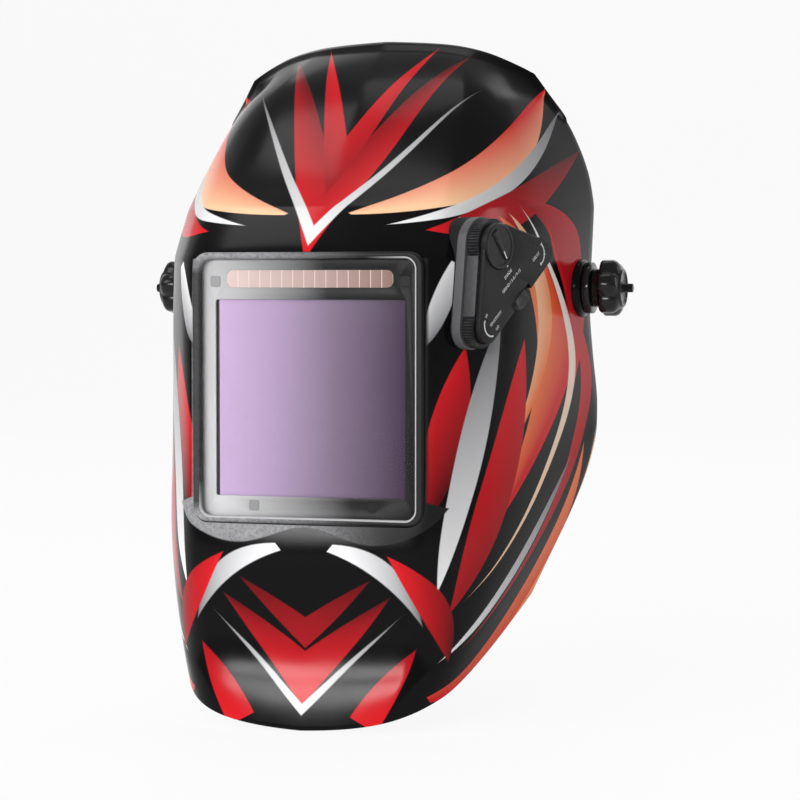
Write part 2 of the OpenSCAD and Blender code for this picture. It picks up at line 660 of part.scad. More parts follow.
module sensitivity_knob() {
  color([0.15, 0.15, 0.16]) unit_frame() wheel(unit_sense, sense_r, 30);
}
module delay_knob() {
  color([0.15, 0.15, 0.16]) unit_frame() wheel(unit_delay, delay_r, 26);
}
module mode_slider() {
  color([0.2, 0.2, 0.21]) unit_frame() translate([slider_at[0], slider_at[1], slider_bottom]) rotate(slider_angle) {
    translate([0, 0, (cover_top + 0.4 - slider_bottom) / 2])
      cube([slider_l, slider_w, cover_top + 0.4 - slider_bottom], center = true);
    for (k = [-1:1]) translate([k * 2.6, 0, cover_top + 0.6 - slider_bottom]) cube([1, slider_w, 1.2], center = true);
  }
}

// ================= Pivots =================
module pivot_bush(s) {
  color([0.85, 0.85, 0.82]) on_side(s, bush_flange_x) difference() {
    union() {
      cylinder(r = bush_flange_r, h = bush_flange_t);
      cylinder(r = bush_r, h = boss_out - bush_flange_x);
    }
    translate([0, 0, -1]) cylinder(r = shoulder_d / 2 + run, h = 30);
  }
}
module stop_pins() {
  color([0.7, 0.7, 0.72]) for (s = [-1, 1]) on_side(s, stop_pin_start) translate([stop_r, 0, 0])
    cylinder(d = stop_pin_d, h = stop_pin_end - stop_pin_start);
}
module pivot_bolt(s) {
  color([0.72, 0.72, 0.74]) {
    on_side(s, foot_x) translate([0, 0, bolt_head_t / 2]) cube([bolt_head_w, bolt_head_w, bolt_head_t], center = true);
    on_side(s, foot_x + 1) cylinder(d = shoulder_d, h = boss_out - foot_x - 1);
    on_side(s, boss_out - 1) cylinder(d = stud_d, h = stud_end - boss_out + 1);
  }
}
module friction_washer(s) {
  color([0.1, 0.1, 0.1]) on_side(s, washer_x) ring(washer_r, shoulder_d / 2 + 0.2, washer_t);
}
module carriage(s) {
  color([0.16, 0.16, 0.17]) difference() {
    union() {
      on_side(s, carriage_x) cylinder(r = carriage_r, h = carriage_t);
      on_side(s, foot_x) translate([0, 0, (carriage_x - foot_x + 1) / 2])
        cube([2 * slot_half - 0.2, 16, carriage_x - foot_x + 1], center = true);
      on_side(s, foot_x) translate([0, 0, foot_t / 2]) cube([20, 20, foot_t], center = true);
    }
    on_side(s, foot_x - 1) cylinder(d = shoulder_d + 2 * run, h = 30);
    on_side(s, foot_x - 1) translate([0, 0, (bolt_head_t + 1) / 2])
      cube([bolt_head_w + 0.2, bolt_head_w + 0.2, bolt_head_t + 1.1], center = true);
  }
}
// Ring sector with five stop positions; the stop pin lies against its lower end
stop_sweep = 235;
module tilt_stop(s) {
  lower = asin((stop_pin_d / 2 + soft_gap) / stop_r);
  color([0.2, 0.2, 0.21]) on_side(s, carriage_x + carriage_t + face_gap / 2) difference() {
    rotate(lower) rotate_extrude(angle = stop_sweep) translate([stop_r - stop_w / 2, 0]) square([stop_w, stop_t]);
    for (k = [0:4]) rotate(100 + 18 * k) translate([stop_r, 0, -1]) cylinder(r = 1.2, h = stop_t + 2);
  }
}
module knob_washer(s) {
  color([0.08, 0.08, 0.08]) on_side(s, boss_out + face_gap) ring(knob_washer_r, stud_d / 2 + 0.3, knob_washer_t);
}
module knob_outline() {
  lobe_r = 5.3;
  circle(knob_d / 2 - 2.8);
  for (k = [1:knob_lobes]) rotate(360 / knob_lobes * k - 100) translate([knob_d / 2 - lobe_r, 0]) circle(lobe_r);
}
module tension_knob(s) {
  color([0.07, 0.07, 0.08]) on_side(s, knob_x) difference() {
    union() {
      cylinder(r = 10, h = knob_neck_h + 1);
      translate([0, 0, knob_neck_h]) linear_extrude(knob_t - 2.2) knob_outline();
      translate([0, 0, knob_neck_h]) cylinder(r = knob_d / 2 - 4, h = knob_t - 1);
      translate([0, 0, knob_neck_h]) cylinder(r = knob_d / 2 - 6, h = knob_t);
    }
    translate([0, 0, -1]) cylinder(r = stud_d / 2 + run, h = 40);
  }
}

// ================= Headgear =================
module headband() {
  color([0.1, 0.1, 0.11]) oval_strip(-band_end, band_end, 48, 0, band_t, 0);
}
module sweatband() {
  color([0.25, 0.25, 0.27]) oval_strip(-62, 62, 28, -soft_gap - pad_t, pad_t, 2);
}
module rear_straps() {
  color([0.1, 0.1, 0.11]) for (s = [-1, 1])
    oval_strip(s > 0 ? rear_start : 360 - 168, s > 0 ? 168 : 360 - rear_start, 18, band_t + strap_gap, strap_t, -3);
}
module side_arm(s) {
  color([0.13, 0.13, 0.14]) {
    on_side(s, arm_x) difference() {
      translate([0, (arm_front + arm_back) / 2, 0]) linear_extrude(arm_t) rounded(arm_h, arm_back - arm_front, 8);
      translate([0, 0, -1]) linear_extrude(arm_t + 2) square([2 * slot_half, 2 * (reach_travel + 8.4)], center = true);
    }
    for (y = foot_y) on_side(s, foot_seat(y)) translate([foot_drop, y, 0]) cylinder(r = foot_r, h = arm_x - foot_seat(y) + 1);
  }
}
foot_drop = 3;
function foot_angle(y) = acos(signed_power((band_y - y) / (band_half_l + band_t), y > band_y ? 1 / nape_power : 1));
function foot_seat(y) = let(near = y < band_y ? y + foot_r : y - foot_r) oval(foot_angle(near), band_t)[0] + 0.2;
// Crown straps: an arc over the head from inside the band, lifted where the two overlap
crown_low = 4;
crown_end = 98;
crown_overlap = 18;
long_t = strap_h + 2 * strap_t + 0.9;
rear_drop = -12;
front_drop = 26;
peg_r = 2.2;
function crown_ring(a, off) = let(lift = off * min(1, max(0, (cos(a) - 0.3) / 0.4)),
    w = band_half_w - strap_t - 0.8 + lift, h = strap_h - crown_low + lift)
  [for (e = [[0, -1], [strap_t, -1], [strap_t, 1], [0, 1]])
    [(w + e[0]) * sin(a), band_y + e[1] * strap_w / 2, crown_low + (h + e[0]) * cos(a)]];
module crown_strap(from, to, off) {
  color([0.1, 0.1, 0.11]) difference() {
    sweep([for (k = [0:24]) crown_ring(from + (to - from) * k / 24, off)]);
    at_crown() cylinder(r = peg_r + fit, h = 20, center = true);
  }
}
module at_crown() {
  translate([0, band_y, strap_h]) children();
}
function long_ring(a) = let(l = a < 0 ? band_half_l + band_t + 0.9 : band_half_l - 0.2,
    low = a < 0 ? front_drop : rear_drop)
  [for (e = [[0, -1], [strap_t, -1], [strap_t, 1], [0, 1]])
    [e[1] * strap_w / 2, band_y + (l + e[0]) * sin(a), low + (long_t + e[0] - low) * cos(a)]];
module crown_strap_long() {
  color([0.1, 0.1, 0.11]) difference() {
    sweep([for (k = [0:38]) long_ring(-95 + 190 * k / 38)]);
    at_crown() cylinder(r = peg_r + fit, h = 20, center = true);
  }
}
module crown_peg() {
  color([0.3, 0.3, 0.32]) at_crown() {
    translate([0, 0, -1.8]) cylinder(r = 5, h = 1.4);
    translate([0, 0, -1]) cylinder(r = peg_r, h = long_t + strap_t + 1.5 - strap_h);
    translate([0, 0, long_t + strap_t + 0.2 - strap_h]) cylinder(r = 6, h = 2);
  }
}
module ratchet_housing() {
  color([0.12, 0.12, 0.13]) difference() {
    translate([0, 0, nape_z]) plate(housing_y + face_gap / 2, housing_depth, ratchet_w, ratchet_h, 8, 0);
    translate([0, 0, nape_z]) plate(housing_y - 1, housing_depth - housing_wall + 1,
      ratchet_w - 2 * housing_wall, ratchet_h - 2 * housing_wall, 6, 0);
    translate([0, housing_y + 1, nape_z]) cube([ratchet_w + 2, 6.6, band_h - 14], center = true);
    translate([0, housing_y + 1, nape_z + ratchet_h / 2]) cube([strap_w + 1, 6, 5], center = true);
    facing_back(0, housing_y, nape_z) cylinder(r = pinion_shaft_r + run, h = housing_depth + 5);
  }
}
module ratchet_cover() {
  color([0.14, 0.14, 0.15]) plate(cover_y, ratchet_cover_t, ratchet_w, ratchet_h, 8, nape_z);
}
module rear_pad() {
  color([0.25, 0.25, 0.27]) plate(cover_y - soft_gap - rear_pad_t, rear_pad_t, ratchet_w + 12, ratchet_h - 2, 12, nape_z);
}
module pinion() {
  cylinder(r = pinion_r - 1, h = rack_t + 1);
  for (k = [1:pinion_teeth]) rotate(360 * k / pinion_teeth)
    translate([pinion_r - 1.2, -tooth_w / 2, 0]) cube([tooth + 0.1, tooth_w, rack_t + 1]);
}
module ratchet_knob() {
  color([0.1, 0.1, 0.11]) facing_back(0, rack_y - 0.5, nape_z) {
    rotate(15) pinion();
    cylinder(r = pinion_shaft_r, h = housing_y + housing_depth + 2 - rack_y);
    translate([0, 0, housing_y + housing_depth + 1 - rack_y]) difference() {
      union() {
        cylinder(r = ratchet_d / 2, h = 10);
        cylinder(r = ratchet_d / 2 - 4, h = 13);
      }
      for (k = [1:12]) rotate(30 * k) translate([ratchet_d / 2 + 1.4, 0, -1]) cylinder(r = 3, h = 16);
    }
  }
}
// Rack: toothed towards the pinion, one above it and one below it
module rack(s) {
  color([0.2, 0.2, 0.21]) translate([0, rack_y, nape_z]) rotate([0, s > 0 ? 0 : 180, 0]) {
    translate([-rack_l / 3, 0, pinion_r + 1.1]) cube([rack_l, rack_t, rack_h]);
    for (k = [-3:6]) translate([tooth_pitch * k - tooth_w / 2, 0, pinion_r - 0.8]) cube([tooth_w, rack_t, tooth + 0.2]);
  }
}

shell();
window_bezel();
lens_gasket();
cover_lens();
filter_holder();
filter_front_case();
filter_back_case();
filter_glass();
shutter_stack();
solar_panel();
light_sensors();
filter_board();
coin_cells();
battery_cap(1);  // battery_cap_left
battery_cap(-1);  // battery_cap_right
inner_cover_lens();
filter_bail();
test_button();
control_base();
control_housing();
control_cover();
control_board();
control_pots();
control_back_plate();
control_screws();
shade_knob();
sensitivity_knob();
delay_knob();
mode_slider();
pivot_bush(1);  // pivot_bush_left
pivot_bush(-1);  // pivot_bush_right
stop_pins();
pivot_bolt(1);  // pivot_bolt_left
pivot_bolt(-1);  // pivot_bolt_right
friction_washer(1);  // friction_washer_left
friction_washer(-1);  // friction_washer_right
carriage(1);  // carriage_left
carriage(-1);  // carriage_right
tilt_stop(1);  // tilt_stop_left
tilt_stop(-1);  // tilt_stop_right
knob_washer(1);  // knob_washer_left
knob_washer(-1);  // knob_washer_right
tension_knob(1);  // tension_knob_left
tension_knob(-1);  // tension_knob_right
headband();
sweatband();
side_arm(1);  // side_arm_left
side_arm(-1);  // side_arm_right
crown_strap(-crown_overlap, crown_end, 0);  // crown_strap_left
crown_strap(-crown_end, crown_overlap, strap_t + 0.2);  // crown_strap_right
crown_strap_long();
crown_peg();
rear_straps();
ratchet_housing();
ratchet_cover();
rear_pad();
ratchet_knob();
rack(1);  // rack_left
rack(-1);  // rack_right
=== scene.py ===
"""Auto-darkening welding helmet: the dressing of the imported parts, laid out as an add-on and run as a script."""

import math
from contextlib import contextmanager

import bmesh
import bpy
from bpy.props import FloatProperty, FloatVectorProperty, IntProperty, PointerProperty
from mathutils import Matrix, Vector


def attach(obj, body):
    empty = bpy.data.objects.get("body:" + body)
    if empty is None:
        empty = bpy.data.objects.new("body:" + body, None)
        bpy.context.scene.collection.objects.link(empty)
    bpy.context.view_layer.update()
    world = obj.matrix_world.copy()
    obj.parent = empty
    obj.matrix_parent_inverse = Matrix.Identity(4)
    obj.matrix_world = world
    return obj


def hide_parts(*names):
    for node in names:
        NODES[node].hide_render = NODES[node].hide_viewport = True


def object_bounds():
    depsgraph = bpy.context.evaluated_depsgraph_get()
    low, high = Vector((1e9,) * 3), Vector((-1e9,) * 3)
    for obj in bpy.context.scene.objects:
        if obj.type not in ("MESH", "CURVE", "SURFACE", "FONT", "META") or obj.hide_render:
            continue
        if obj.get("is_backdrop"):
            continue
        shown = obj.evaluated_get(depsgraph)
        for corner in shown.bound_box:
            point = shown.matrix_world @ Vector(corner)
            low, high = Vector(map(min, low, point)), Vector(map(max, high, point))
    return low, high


bl_info = {
    "name": "Welding Helmet",
    "version": (1, 0, 0),
    "blender": (4, 5, 0),
    "location": "View3D > Sidebar > Helmet",
    "description": "Builds the painted shell, window, control unit, pivots and headgear of a welding helmet",
    "category": "Object",
}

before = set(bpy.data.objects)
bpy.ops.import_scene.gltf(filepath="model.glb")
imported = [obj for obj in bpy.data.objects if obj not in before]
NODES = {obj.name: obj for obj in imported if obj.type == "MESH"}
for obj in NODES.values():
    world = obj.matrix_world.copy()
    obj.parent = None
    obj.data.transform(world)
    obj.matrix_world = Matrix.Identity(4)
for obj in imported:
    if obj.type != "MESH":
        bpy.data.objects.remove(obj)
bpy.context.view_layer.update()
MM = 0.001


# ---------------------------------------------------------------- sizes and colours
def length_property(label, about, value):
    """Length that a user may change, given in millimetres."""
    return FloatProperty(name=label, description=about, default=value * MM, unit="LENGTH", precision=5)


def count_property(label, about, value, low, high):
    return IntProperty(name=label, description=about, default=value, min=low, max=high)


def colour_property(label, about, *value):
    """Colour that a user may change, written as linear red, green and blue."""
    return FloatVectorProperty(name=label, description=about, subtype="COLOR", size=3, min=0.0, max=1.0, default=value)


def angle_property(label, about, value):
    return FloatProperty(name=label, description=about, default=math.radians(value), subtype="ANGLE")


def power_property(label, about, value):
    return FloatProperty(name=label, description=about, default=value, unit="POWER")


class HELMET_PG_sizes(bpy.types.PropertyGroup):
    """Sizes of the dressed pieces that are not fixed by the frame."""

    shell_wall: length_property("Shell wall", "Thickness of the shell's wall", 2.6)
    shell_columns: count_property("Shell columns", "Faces across the whole shell", 148, 40, 240)
    shell_rows: count_property("Shell rows", "Faces from the chin's rim to the crown's rim", 168, 40, 260)
    rim_round: length_property("Rim round", "Rounding of the shell's free rim", 0.7)
    rim_lip: length_property("Rim lip", "Height of the lip along the crown's rim", 0.9)
    wheel_ribs: count_property("Wheel ribs", "Grip ribs around the shade wheel", 58, 20, 90)
    knob_lobes: count_property("Knob lobes", "Lobes around a tension knob", 6, 4, 9)
    pad_swell: length_property("Pad swell", "How far a point of a pad may move when it fills", 1.6)


class HELMET_PG_colours(bpy.types.PropertyGroup):
    """Colours of the paint, the plastics and the glass."""

    black: colour_property("Black", "Gloss ground of the shell", 0.0020, 0.0020, 0.0024)
    red: colour_property("Red", "Bright end of the red flashes", 0.62, 0.010, 0.016)
    dark_red: colour_property("Dark red", "Dark end of the red flashes", 0.10, 0.003, 0.005)
    wine: colour_property("Wine", "Middle tone of the red flashes", 0.32, 0.006, 0.010)
    orange: colour_property("Orange", "Warm end of the flashes", 0.86, 0.20, 0.06)
    cream: colour_property("Cream", "Lightest warm tone", 0.92, 0.56, 0.33)
    white: colour_property("White", "White pins and blades", 0.84, 0.84, 0.85)
    grey: colour_property("Grey", "Smoky end of the white blades", 0.13, 0.13, 0.14)
    satin: colour_property("Satin", "Dark end of the satin surround", 0.018, 0.018, 0.019)
    # Painted light: the colour painted on the lit side of the satin surround and of the window's frame
    smoke: colour_property("Smoke", "Light end of the satin surround", 0.30, 0.30, 0.31)
    plastic: colour_property("Plastic", "Moulded black plastic", 0.010, 0.010, 0.011)
    violet: colour_property("Violet", "Light side of the filter glass", 0.61, 0.44, 0.69)
    plum: colour_property("Plum", "Dark side of the filter glass", 0.034, 0.012, 0.040)
    solar: colour_property("Solar", "Copper tone of the solar strip", 0.46, 0.20, 0.14)


class HELMET_PG_stage(bpy.types.PropertyGroup):
    """Camera and lamps of the stage."""

    azimuth: angle_property("Azimuth", "Camera angle to the wearer's left of the front", 17)
    elevation: angle_property("Elevation", "Camera angle above the horizon", 2.6)
    lens: FloatProperty(
        name="Lens", description="Focal length on a 36 mm sensor", default=112.32, subtype="DISTANCE_CAMERA")
    key_power: power_property("Key power", "Power of the large soft lamp", 8.0)
    strip_power: power_property("Strip power", "Power of the side strip lamp", 3.0)
    fill_power: power_property("Fill power", "Power of the low front lamp", 28.0)
    top_power: power_property("Top power", "Power of the two overhead lamps", 2.8)
    rear_power: power_property("Rear power", "Power of the wide rear lamp", 16.0)


def sizes():
    return bpy.context.scene.helmet_sizes


def colours():
    return bpy.context.scene.helmet_colours


# ---------------------------------------------------------------- the shell's surface, in millimetres
VIEW_W, VIEW_H, VIEW_DROP, VIEW_CORNER = 108, 124, 48, 5
HALF_W, CROWN_H, CHIN_DROP, REACH, EAR_BACK = 105, 128, 211, 132, 16
FRONT = -REACH
TOP = VIEW_H / 2 - VIEW_DROP
LOW = -VIEW_H / 2 - VIEW_DROP
KNEE = VIEW_W / 2 + 2
CORNER = VIEW_W / 2 + 12
CHIN = -CHIN_DROP
# Ribs of five control points, from the middle of the front to the rear rim, chin first
RIBS = [
    [(0, FRONT - 10, CHIN), (26, FRONT - 10, CHIN + 1), (56, FRONT - 4, CHIN + 9),
     (HALF_W - 31, FRONT + 28, CHIN + 23), (HALF_W - 13, EAR_BACK - 72, CHIN + 59)],
    [(0, FRONT - 8, CHIN + 13), (28, FRONT - 8, CHIN + 14), (60, FRONT - 3, CHIN + 21),
     (HALF_W - 26, FRONT + 35, CHIN + 37), (HALF_W - 8, EAR_BACK - 58, CHIN + 75)],
    [(0, FRONT - 3, CHIN + 33), (34, FRONT - 3, CHIN + 33), (65, FRONT + 2, CHIN + 35),
     (HALF_W - 18, FRONT + 48, CHIN + 57), (HALF_W - 1, EAR_BACK - 38, CHIN + 97)],
    [(0, FRONT - 2, CHIN + 53), (38, FRONT - 2, CHIN + 53), (68, FRONT + 4, CHIN + 55),
     (HALF_W - 13, FRONT + 54, CHIN + 73), (HALF_W + 4, EAR_BACK - 22, CHIN + 117)],
    [(0, FRONT - 6, LOW - 22), (44, FRONT - 6, LOW - 22), (68, FRONT + 2, LOW - 21),
     (HALF_W - 10, FRONT + 56, LOW - 8), (HALF_W + 6, EAR_BACK - 10, LOW + 34)],
    [(0, FRONT - 4, LOW - 4), (KNEE - 4, FRONT - 4, LOW - 4), (CORNER + 1, FRONT + 4, LOW - 3),
     (HALF_W - 9, FRONT + 56, LOW + 10), (HALF_W + 5, EAR_BACK - 4, LOW + 46)],
    [(0, FRONT, LOW + 14), (KNEE, FRONT, LOW + 14), (CORNER, FRONT + 6, LOW + 15),
     (HALF_W - 9, FRONT + 56, LOW + 28), (HALF_W + 4, EAR_BACK, LOW + 56)],
    [(0, FRONT, -VIEW_DROP - 12), (KNEE, FRONT, -VIEW_DROP - 12), (CORNER, FRONT + 6, -VIEW_DROP - 12),
     (HALF_W - 9, FRONT + 58, -VIEW_DROP - 2), (HALF_W + 2, EAR_BACK - 2, -VIEW_DROP + 14)],
    [(0, FRONT, TOP - 34), (KNEE, FRONT, TOP - 34), (CORNER, FRONT + 6, TOP - 34),
     (HALF_W - 8, FRONT + 60, TOP - 28), (HALF_W, EAR_BACK - 2, TOP - 22)],
    [(0, FRONT - 2, TOP - 2), (KNEE - 2, FRONT, TOP - 2), (CORNER + 1, FRONT + 8, TOP - 2),
     (HALF_W - 8, FRONT + 64, TOP), (HALF_W + 1, EAR_BACK - 1, TOP)],
    [(0, FRONT - 2, TOP + 2), (KNEE - 3, FRONT, TOP + 2), (CORNER + 1, FRONT + 9, TOP + 2),
     (HALF_W - 8, FRONT + 66, TOP + 4), (HALF_W + 1, EAR_BACK, TOP + 4)],
    [(0, FRONT + 19, TOP + 25), (KNEE - 4, FRONT + 20, TOP + 24), (CORNER + 3, FRONT + 30, TOP + 23),
     (HALF_W - 9, FRONT + 80, TOP + 24), (HALF_W + 2, EAR_BACK, TOP + 26)],
    [(0, FRONT + 24, TOP + 28), (KNEE - 5, FRONT + 25, TOP + 28), (CORNER + 3, FRONT + 34, TOP + 27),
     (HALF_W - 10, FRONT + 82, TOP + 28), (HALF_W + 2, EAR_BACK, TOP + 30)],
    [(0, FRONT + 48, CROWN_H - 66), (48, FRONT + 50, CROWN_H - 66), (68, FRONT + 60, CROWN_H - 67),
     (HALF_W - 15, FRONT + 94, CROWN_H - 66), (HALF_W - 1, EAR_BACK, CROWN_H - 66)],
    [(0, FRONT + 84, CROWN_H - 30), (42, FRONT + 86, CROWN_H - 30), (64, FRONT + 92, CROWN_H - 34),
     (HALF_W - 25, FRONT + 112, CROWN_H - 40), (HALF_W - 11, EAR_BACK - 2, CROWN_H - 42)],
    [(0, EAR_BACK - 38, CROWN_H - 11), (34, EAR_BACK - 36, CROWN_H - 11), (54, EAR_BACK - 32, CROWN_H - 15),
     (HALF_W - 34, EAR_BACK - 20, CROWN_H - 23), (HALF_W - 22, EAR_BACK - 6, CROWN_H - 27)],
    [(0, EAR_BACK - 20, CROWN_H), (28, EAR_BACK - 19, CROWN_H - 1), (50, EAR_BACK - 17, CROWN_H - 5),
     (HALF_W - 38, EAR_BACK - 13, CROWN_H - 12), (HALF_W - 28, EAR_BACK - 9, CROWN_H - 17)],
]


def spline(points, share):
    """Point at a share of a quadratic spline that is clamped at both ends."""
    spans = len(points) - 2
    place = share * spans
    span = min(int(place), spans - 1)
    t = place - span
    start = points[0] if span == 0 else (points[span] + points[span + 1]) / 2
    end = points[span + 2] if span == spans - 1 else (points[span + 1] + points[span + 2]) / 2
    return start * (1 - t) ** 2 + points[span + 1] * (2 * t * (1 - t)) + end * t * t


def shell_rib(height):
    return [spline([Vector(rib[k]) for rib in RIBS], height) for k in range(5)]


# ---------------------------------------------------------------- places that pieces share
BOSS_R, BOSS_OUT, BOSS_IN, BUSH_R, STOP_R, PIN_R, PLAY = 15, HALF_W + 1.6, HALF_W - 6, 6, 21, 2.5, 0.05
KNOB_X = BOSS_OUT + 4.2
UNIT_SHADE, UNIT_SENSE, UNIT_DELAY = (-15, 20), (-23.5, -19.5), (24, 17)
UNIT_CORNERS = [(UNIT_SHADE, 14), (UNIT_DELAY, 8.5), (UNIT_SENSE, 10)]
WHEEL_BOTTOM, WHEEL_TOP, COVER_TOP = 0.8, 7.2, 10.1
SLIDER_AT, SLIDER_ANGLE, POINTER_ANGLE = (4.5, -5.4), 37.5, -55
DELAY_SCALE, SENSE_SCALE, MARK_H = ((17.0, 16.6), 5.6), ((-21.2, -17.4), 5.5), 0.06


def unit_matrix():
    """Frame of the control unit: X runs back along the side wall, Y up and Z outwards."""
    rib = shell_rib(0.54)
    fore, rear, middle = spline(rib, 0.56), spline(rib, 0.84), spline(rib, 0.7)
    yaw = math.atan2(rear.x - fore.x, rear.y - fore.y)
    along, outwards = Vector((math.sin(yaw), math.cos(yaw), 0)), Vector((math.cos(yaw), -math.sin(yaw), 0))
    turn = Matrix((along, Vector((0, 0, 1)), outwards)).transposed().to_4x4()
    return Matrix.Translation(Vector((middle.x, middle.y, 0)) * MM) @ turn


UNIT = unit_matrix()


def shift(x, y, z):
    return Matrix.Translation((x * MM, y * MM, z * MM))


def rotation(degrees, axis="Z"):
    return Matrix.Rotation(math.radians(degrees), 4, axis)


def on_unit(place, degrees=0):
    """Place on the control unit, turned about the outward direction."""
    return UNIT @ shift(*place, 0) @ rotation(degrees)


def at_side(side, x):
    """Frame at a side pivot: Z runs outwards along the pivot's axis, from x millimetres."""
    mirror = Matrix.Scale(-1, 4, (1, 0, 0)) if side < 0 else Matrix.Identity(4)
    return mirror @ shift(x, 0, 0) @ rotation(90, "Y")


def upright(y, z):
    """Frame of a plate that stands across Y: its Z points to the front from y."""
    return shift(0, y, z) @ rotation(90, "X")


# ---------------------------------------------------------------- outlines, in millimetres
def on_circle(centre, radius, a):
    return centre[0] + radius * math.cos(a), centre[1] + radius * math.sin(a)


def unit_outline(grow, steps=16):
    """Outline around the unit's three corner circles, grown outwards."""
    def normal(p, q):
        dx, dy = q[0][0] - p[0][0], q[0][1] - p[0][1]
        return math.atan2(dy, dx) + math.acos((p[1] - q[1]) / math.hypot(dx, dy))

    points = []
    for k, corner in enumerate(UNIT_CORNERS):
        start, end = normal(UNIT_CORNERS[k - 1], corner), normal(corner, UNIT_CORNERS[(k + 1) % 3])
        if end > start:
            end -= 2 * math.pi
        points += [on_circle(corner[0], corner[1] + grow, start + (end - start) * n / steps) for n in range(steps + 1)]
    return points


def rounded_outline(width, height, radius, steps):
    points = []
    for x, y, start in ((1, 1, 0), (-1, 1, 90), (-1, -1, 180), (1, -1, 270)):
        centre = x * (width / 2 - radius), y * (height / 2 - radius)
        points += [on_circle(centre, radius, math.radians(start + 90 * n / steps)) for n in range(steps + 1)]
    return points


# ---------------------------------------------------------------- modelling helpers
WELD, WELD_TRIANGLES, WELD_SLIVERS, FLAT_SLIVERS = 1e-6, 2e-6, 0.008 * MM, 0.004 * MM


def deselect_all():
    bpy.ops.object.select_all(action="DESELECT")


def take(*objects):
    """Selects only these objects and makes the first one active."""
    deselect_all()
    for obj in objects:
        obj.select_set(True)
    bpy.context.view_layer.objects.active = objects[0]


@contextmanager
def editing(obj, kind="FACE", everything=False):
    """Edit mode with everything or nothing selected; gives a function that selects what passes a test."""
    take(obj)
    bpy.ops.object.mode_set(mode="EDIT")
    bpy.ops.mesh.select_mode(type=kind)
    bpy.ops.mesh.select_all(action="SELECT" if everything else "DESELECT")

    def pick(test):
        shape = bmesh.from_edit_mesh(obj.data)
        for part in {"FACE": shape.faces, "EDGE": shape.edges, "VERT": shape.verts}[kind]:
            if test(part):
                part.select_set(True)
        shape.select_flush_mode()
        bmesh.update_edit_mesh(obj.data)

    yield pick
    bpy.ops.object.mode_set(mode="OBJECT")


def extrude(rise):
    """Carries the selected faces or edges up by a rise in millimetres."""
    bpy.ops.mesh.extrude_region_move(TRANSFORM_OT_translate={"value": (0, 0, rise * MM)})


def face_outwards():
    bpy.ops.mesh.select_all(action="SELECT")
    bpy.ops.mesh.normals_make_consistent(inside=False)


def made(name):
    """The object that an add operator has just made, named."""
    obj = bpy.context.active_object
    obj.name = obj.data.name = name
    return obj


def modify(obj, kind, **values):
    """Adds a modifier with its values and applies it."""
    take(obj)
    modifier = obj.modifiers.new(kind.lower(), kind)
    for key, value in values.items():
        setattr(modifier, key, value)
    bpy.ops.object.modifier_apply(modifier=modifier.name)


def soften(obj, degrees=35):
    take(obj)
    bpy.ops.object.shade_smooth_by_angle(angle=math.radians(degrees), keep_sharp_edges=False)
    return obj


def recalculate(obj):
    with editing(obj, everything=True):
        bpy.ops.mesh.remove_doubles(threshold=WELD)
        bpy.ops.mesh.normals_make_consistent(inside=False)
    return obj


def bevel(obj, width, segments, degrees, **values):
    modify(obj, "BEVEL", width=width * MM, segments=segments, limit_method="ANGLE", angle_limit=math.radians(degrees),
           **values)


def round_edges(obj, width, segments=2, degrees=35):
    """Rounds every edge sharper than the angle."""
    bevel(obj, width, segments, degrees, miter_outer="MITER_ARC", use_clamp_overlap=True)
    return soften(obj, degrees)


def joined(name, *objects):
    take(*objects)
    bpy.ops.object.join()
    return made(name)


def copied(obj, name, matrix=Matrix.Identity(4)):
    """A copy with its own mesh."""
    new = bpy.data.objects.new(name, obj.data.copy())
    new.data.name = name
    bpy.context.scene.collection.objects.link(new)
    return placed(new, matrix)


def placed(obj, matrix=Matrix.Identity(4)):
    """Puts the shape itself at its place, so that the object stays at the origin."""
    obj.data.transform(matrix @ obj.matrix_world)
    obj.matrix_world = Matrix.Identity(4)
    if matrix.determinant() < 0:
        recalculate(obj)
    return obj


def finished(obj, body, slot, *surfaces, stands_for=()):
    """Gives a piece its materials and its body; slot is not used."""
    if surfaces:
        obj.data.materials.clear()
        for surface in surfaces:
            obj.data.materials.append(surface)
    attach(obj, body)
    if stands_for:
        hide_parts(*stands_for)


def turned(name, rings, points=64):
    """Round body made from a disc by extruding and scaling it ring by ring; rings are (radius, height)."""
    radius, height = rings[0]
    deselect_all()
    bpy.ops.mesh.primitive_circle_add(
        vertices=points, radius=radius * MM, fill_type="NGON", location=(0, 0, height * MM))
    obj = placed(made(name))
    with editing(obj, everything=True):
        for next_radius, next_height in rings[1:]:
            extrude(next_height - height)
            ratio = next_radius / radius
            bpy.ops.transform.resize(value=(ratio, ratio, 1), center_override=(0, 0, next_height * MM))
            radius, height = next_radius, next_height
        face_outwards()
    return obj


def block(name, size, centre):
    """Box of a size in millimetres at a centre in millimetres, still to be shaped."""
    deselect_all()
    bpy.ops.mesh.primitive_cube_add(size=1, location=Vector(centre) * MM)
    obj = made(name)
    obj.scale = Vector(size) * MM
    bpy.context.view_layer.update()
    return placed(obj)


def ring_of(name, outline, height, fill):
    """Closed ring of points at a height, all in millimetres, as a disc or as a bare line."""
    deselect_all()
    bpy.ops.mesh.primitive_circle_add(vertices=len(outline), radius=MM, fill_type=fill)
    obj = made(name)
    for vertex, point in zip(obj.data.vertices, outline):
        vertex.co = (point[0] * MM, point[1] * MM, height * MM)
    return obj


def slab(name, outline, low, high):
    """Flat body on a closed outline of (x, y) points, between two heights."""
    obj = ring_of(name, outline, low, "NGON")
    with editing(obj, everything=True):
        extrude(high - low)
        face_outwards()
    return obj


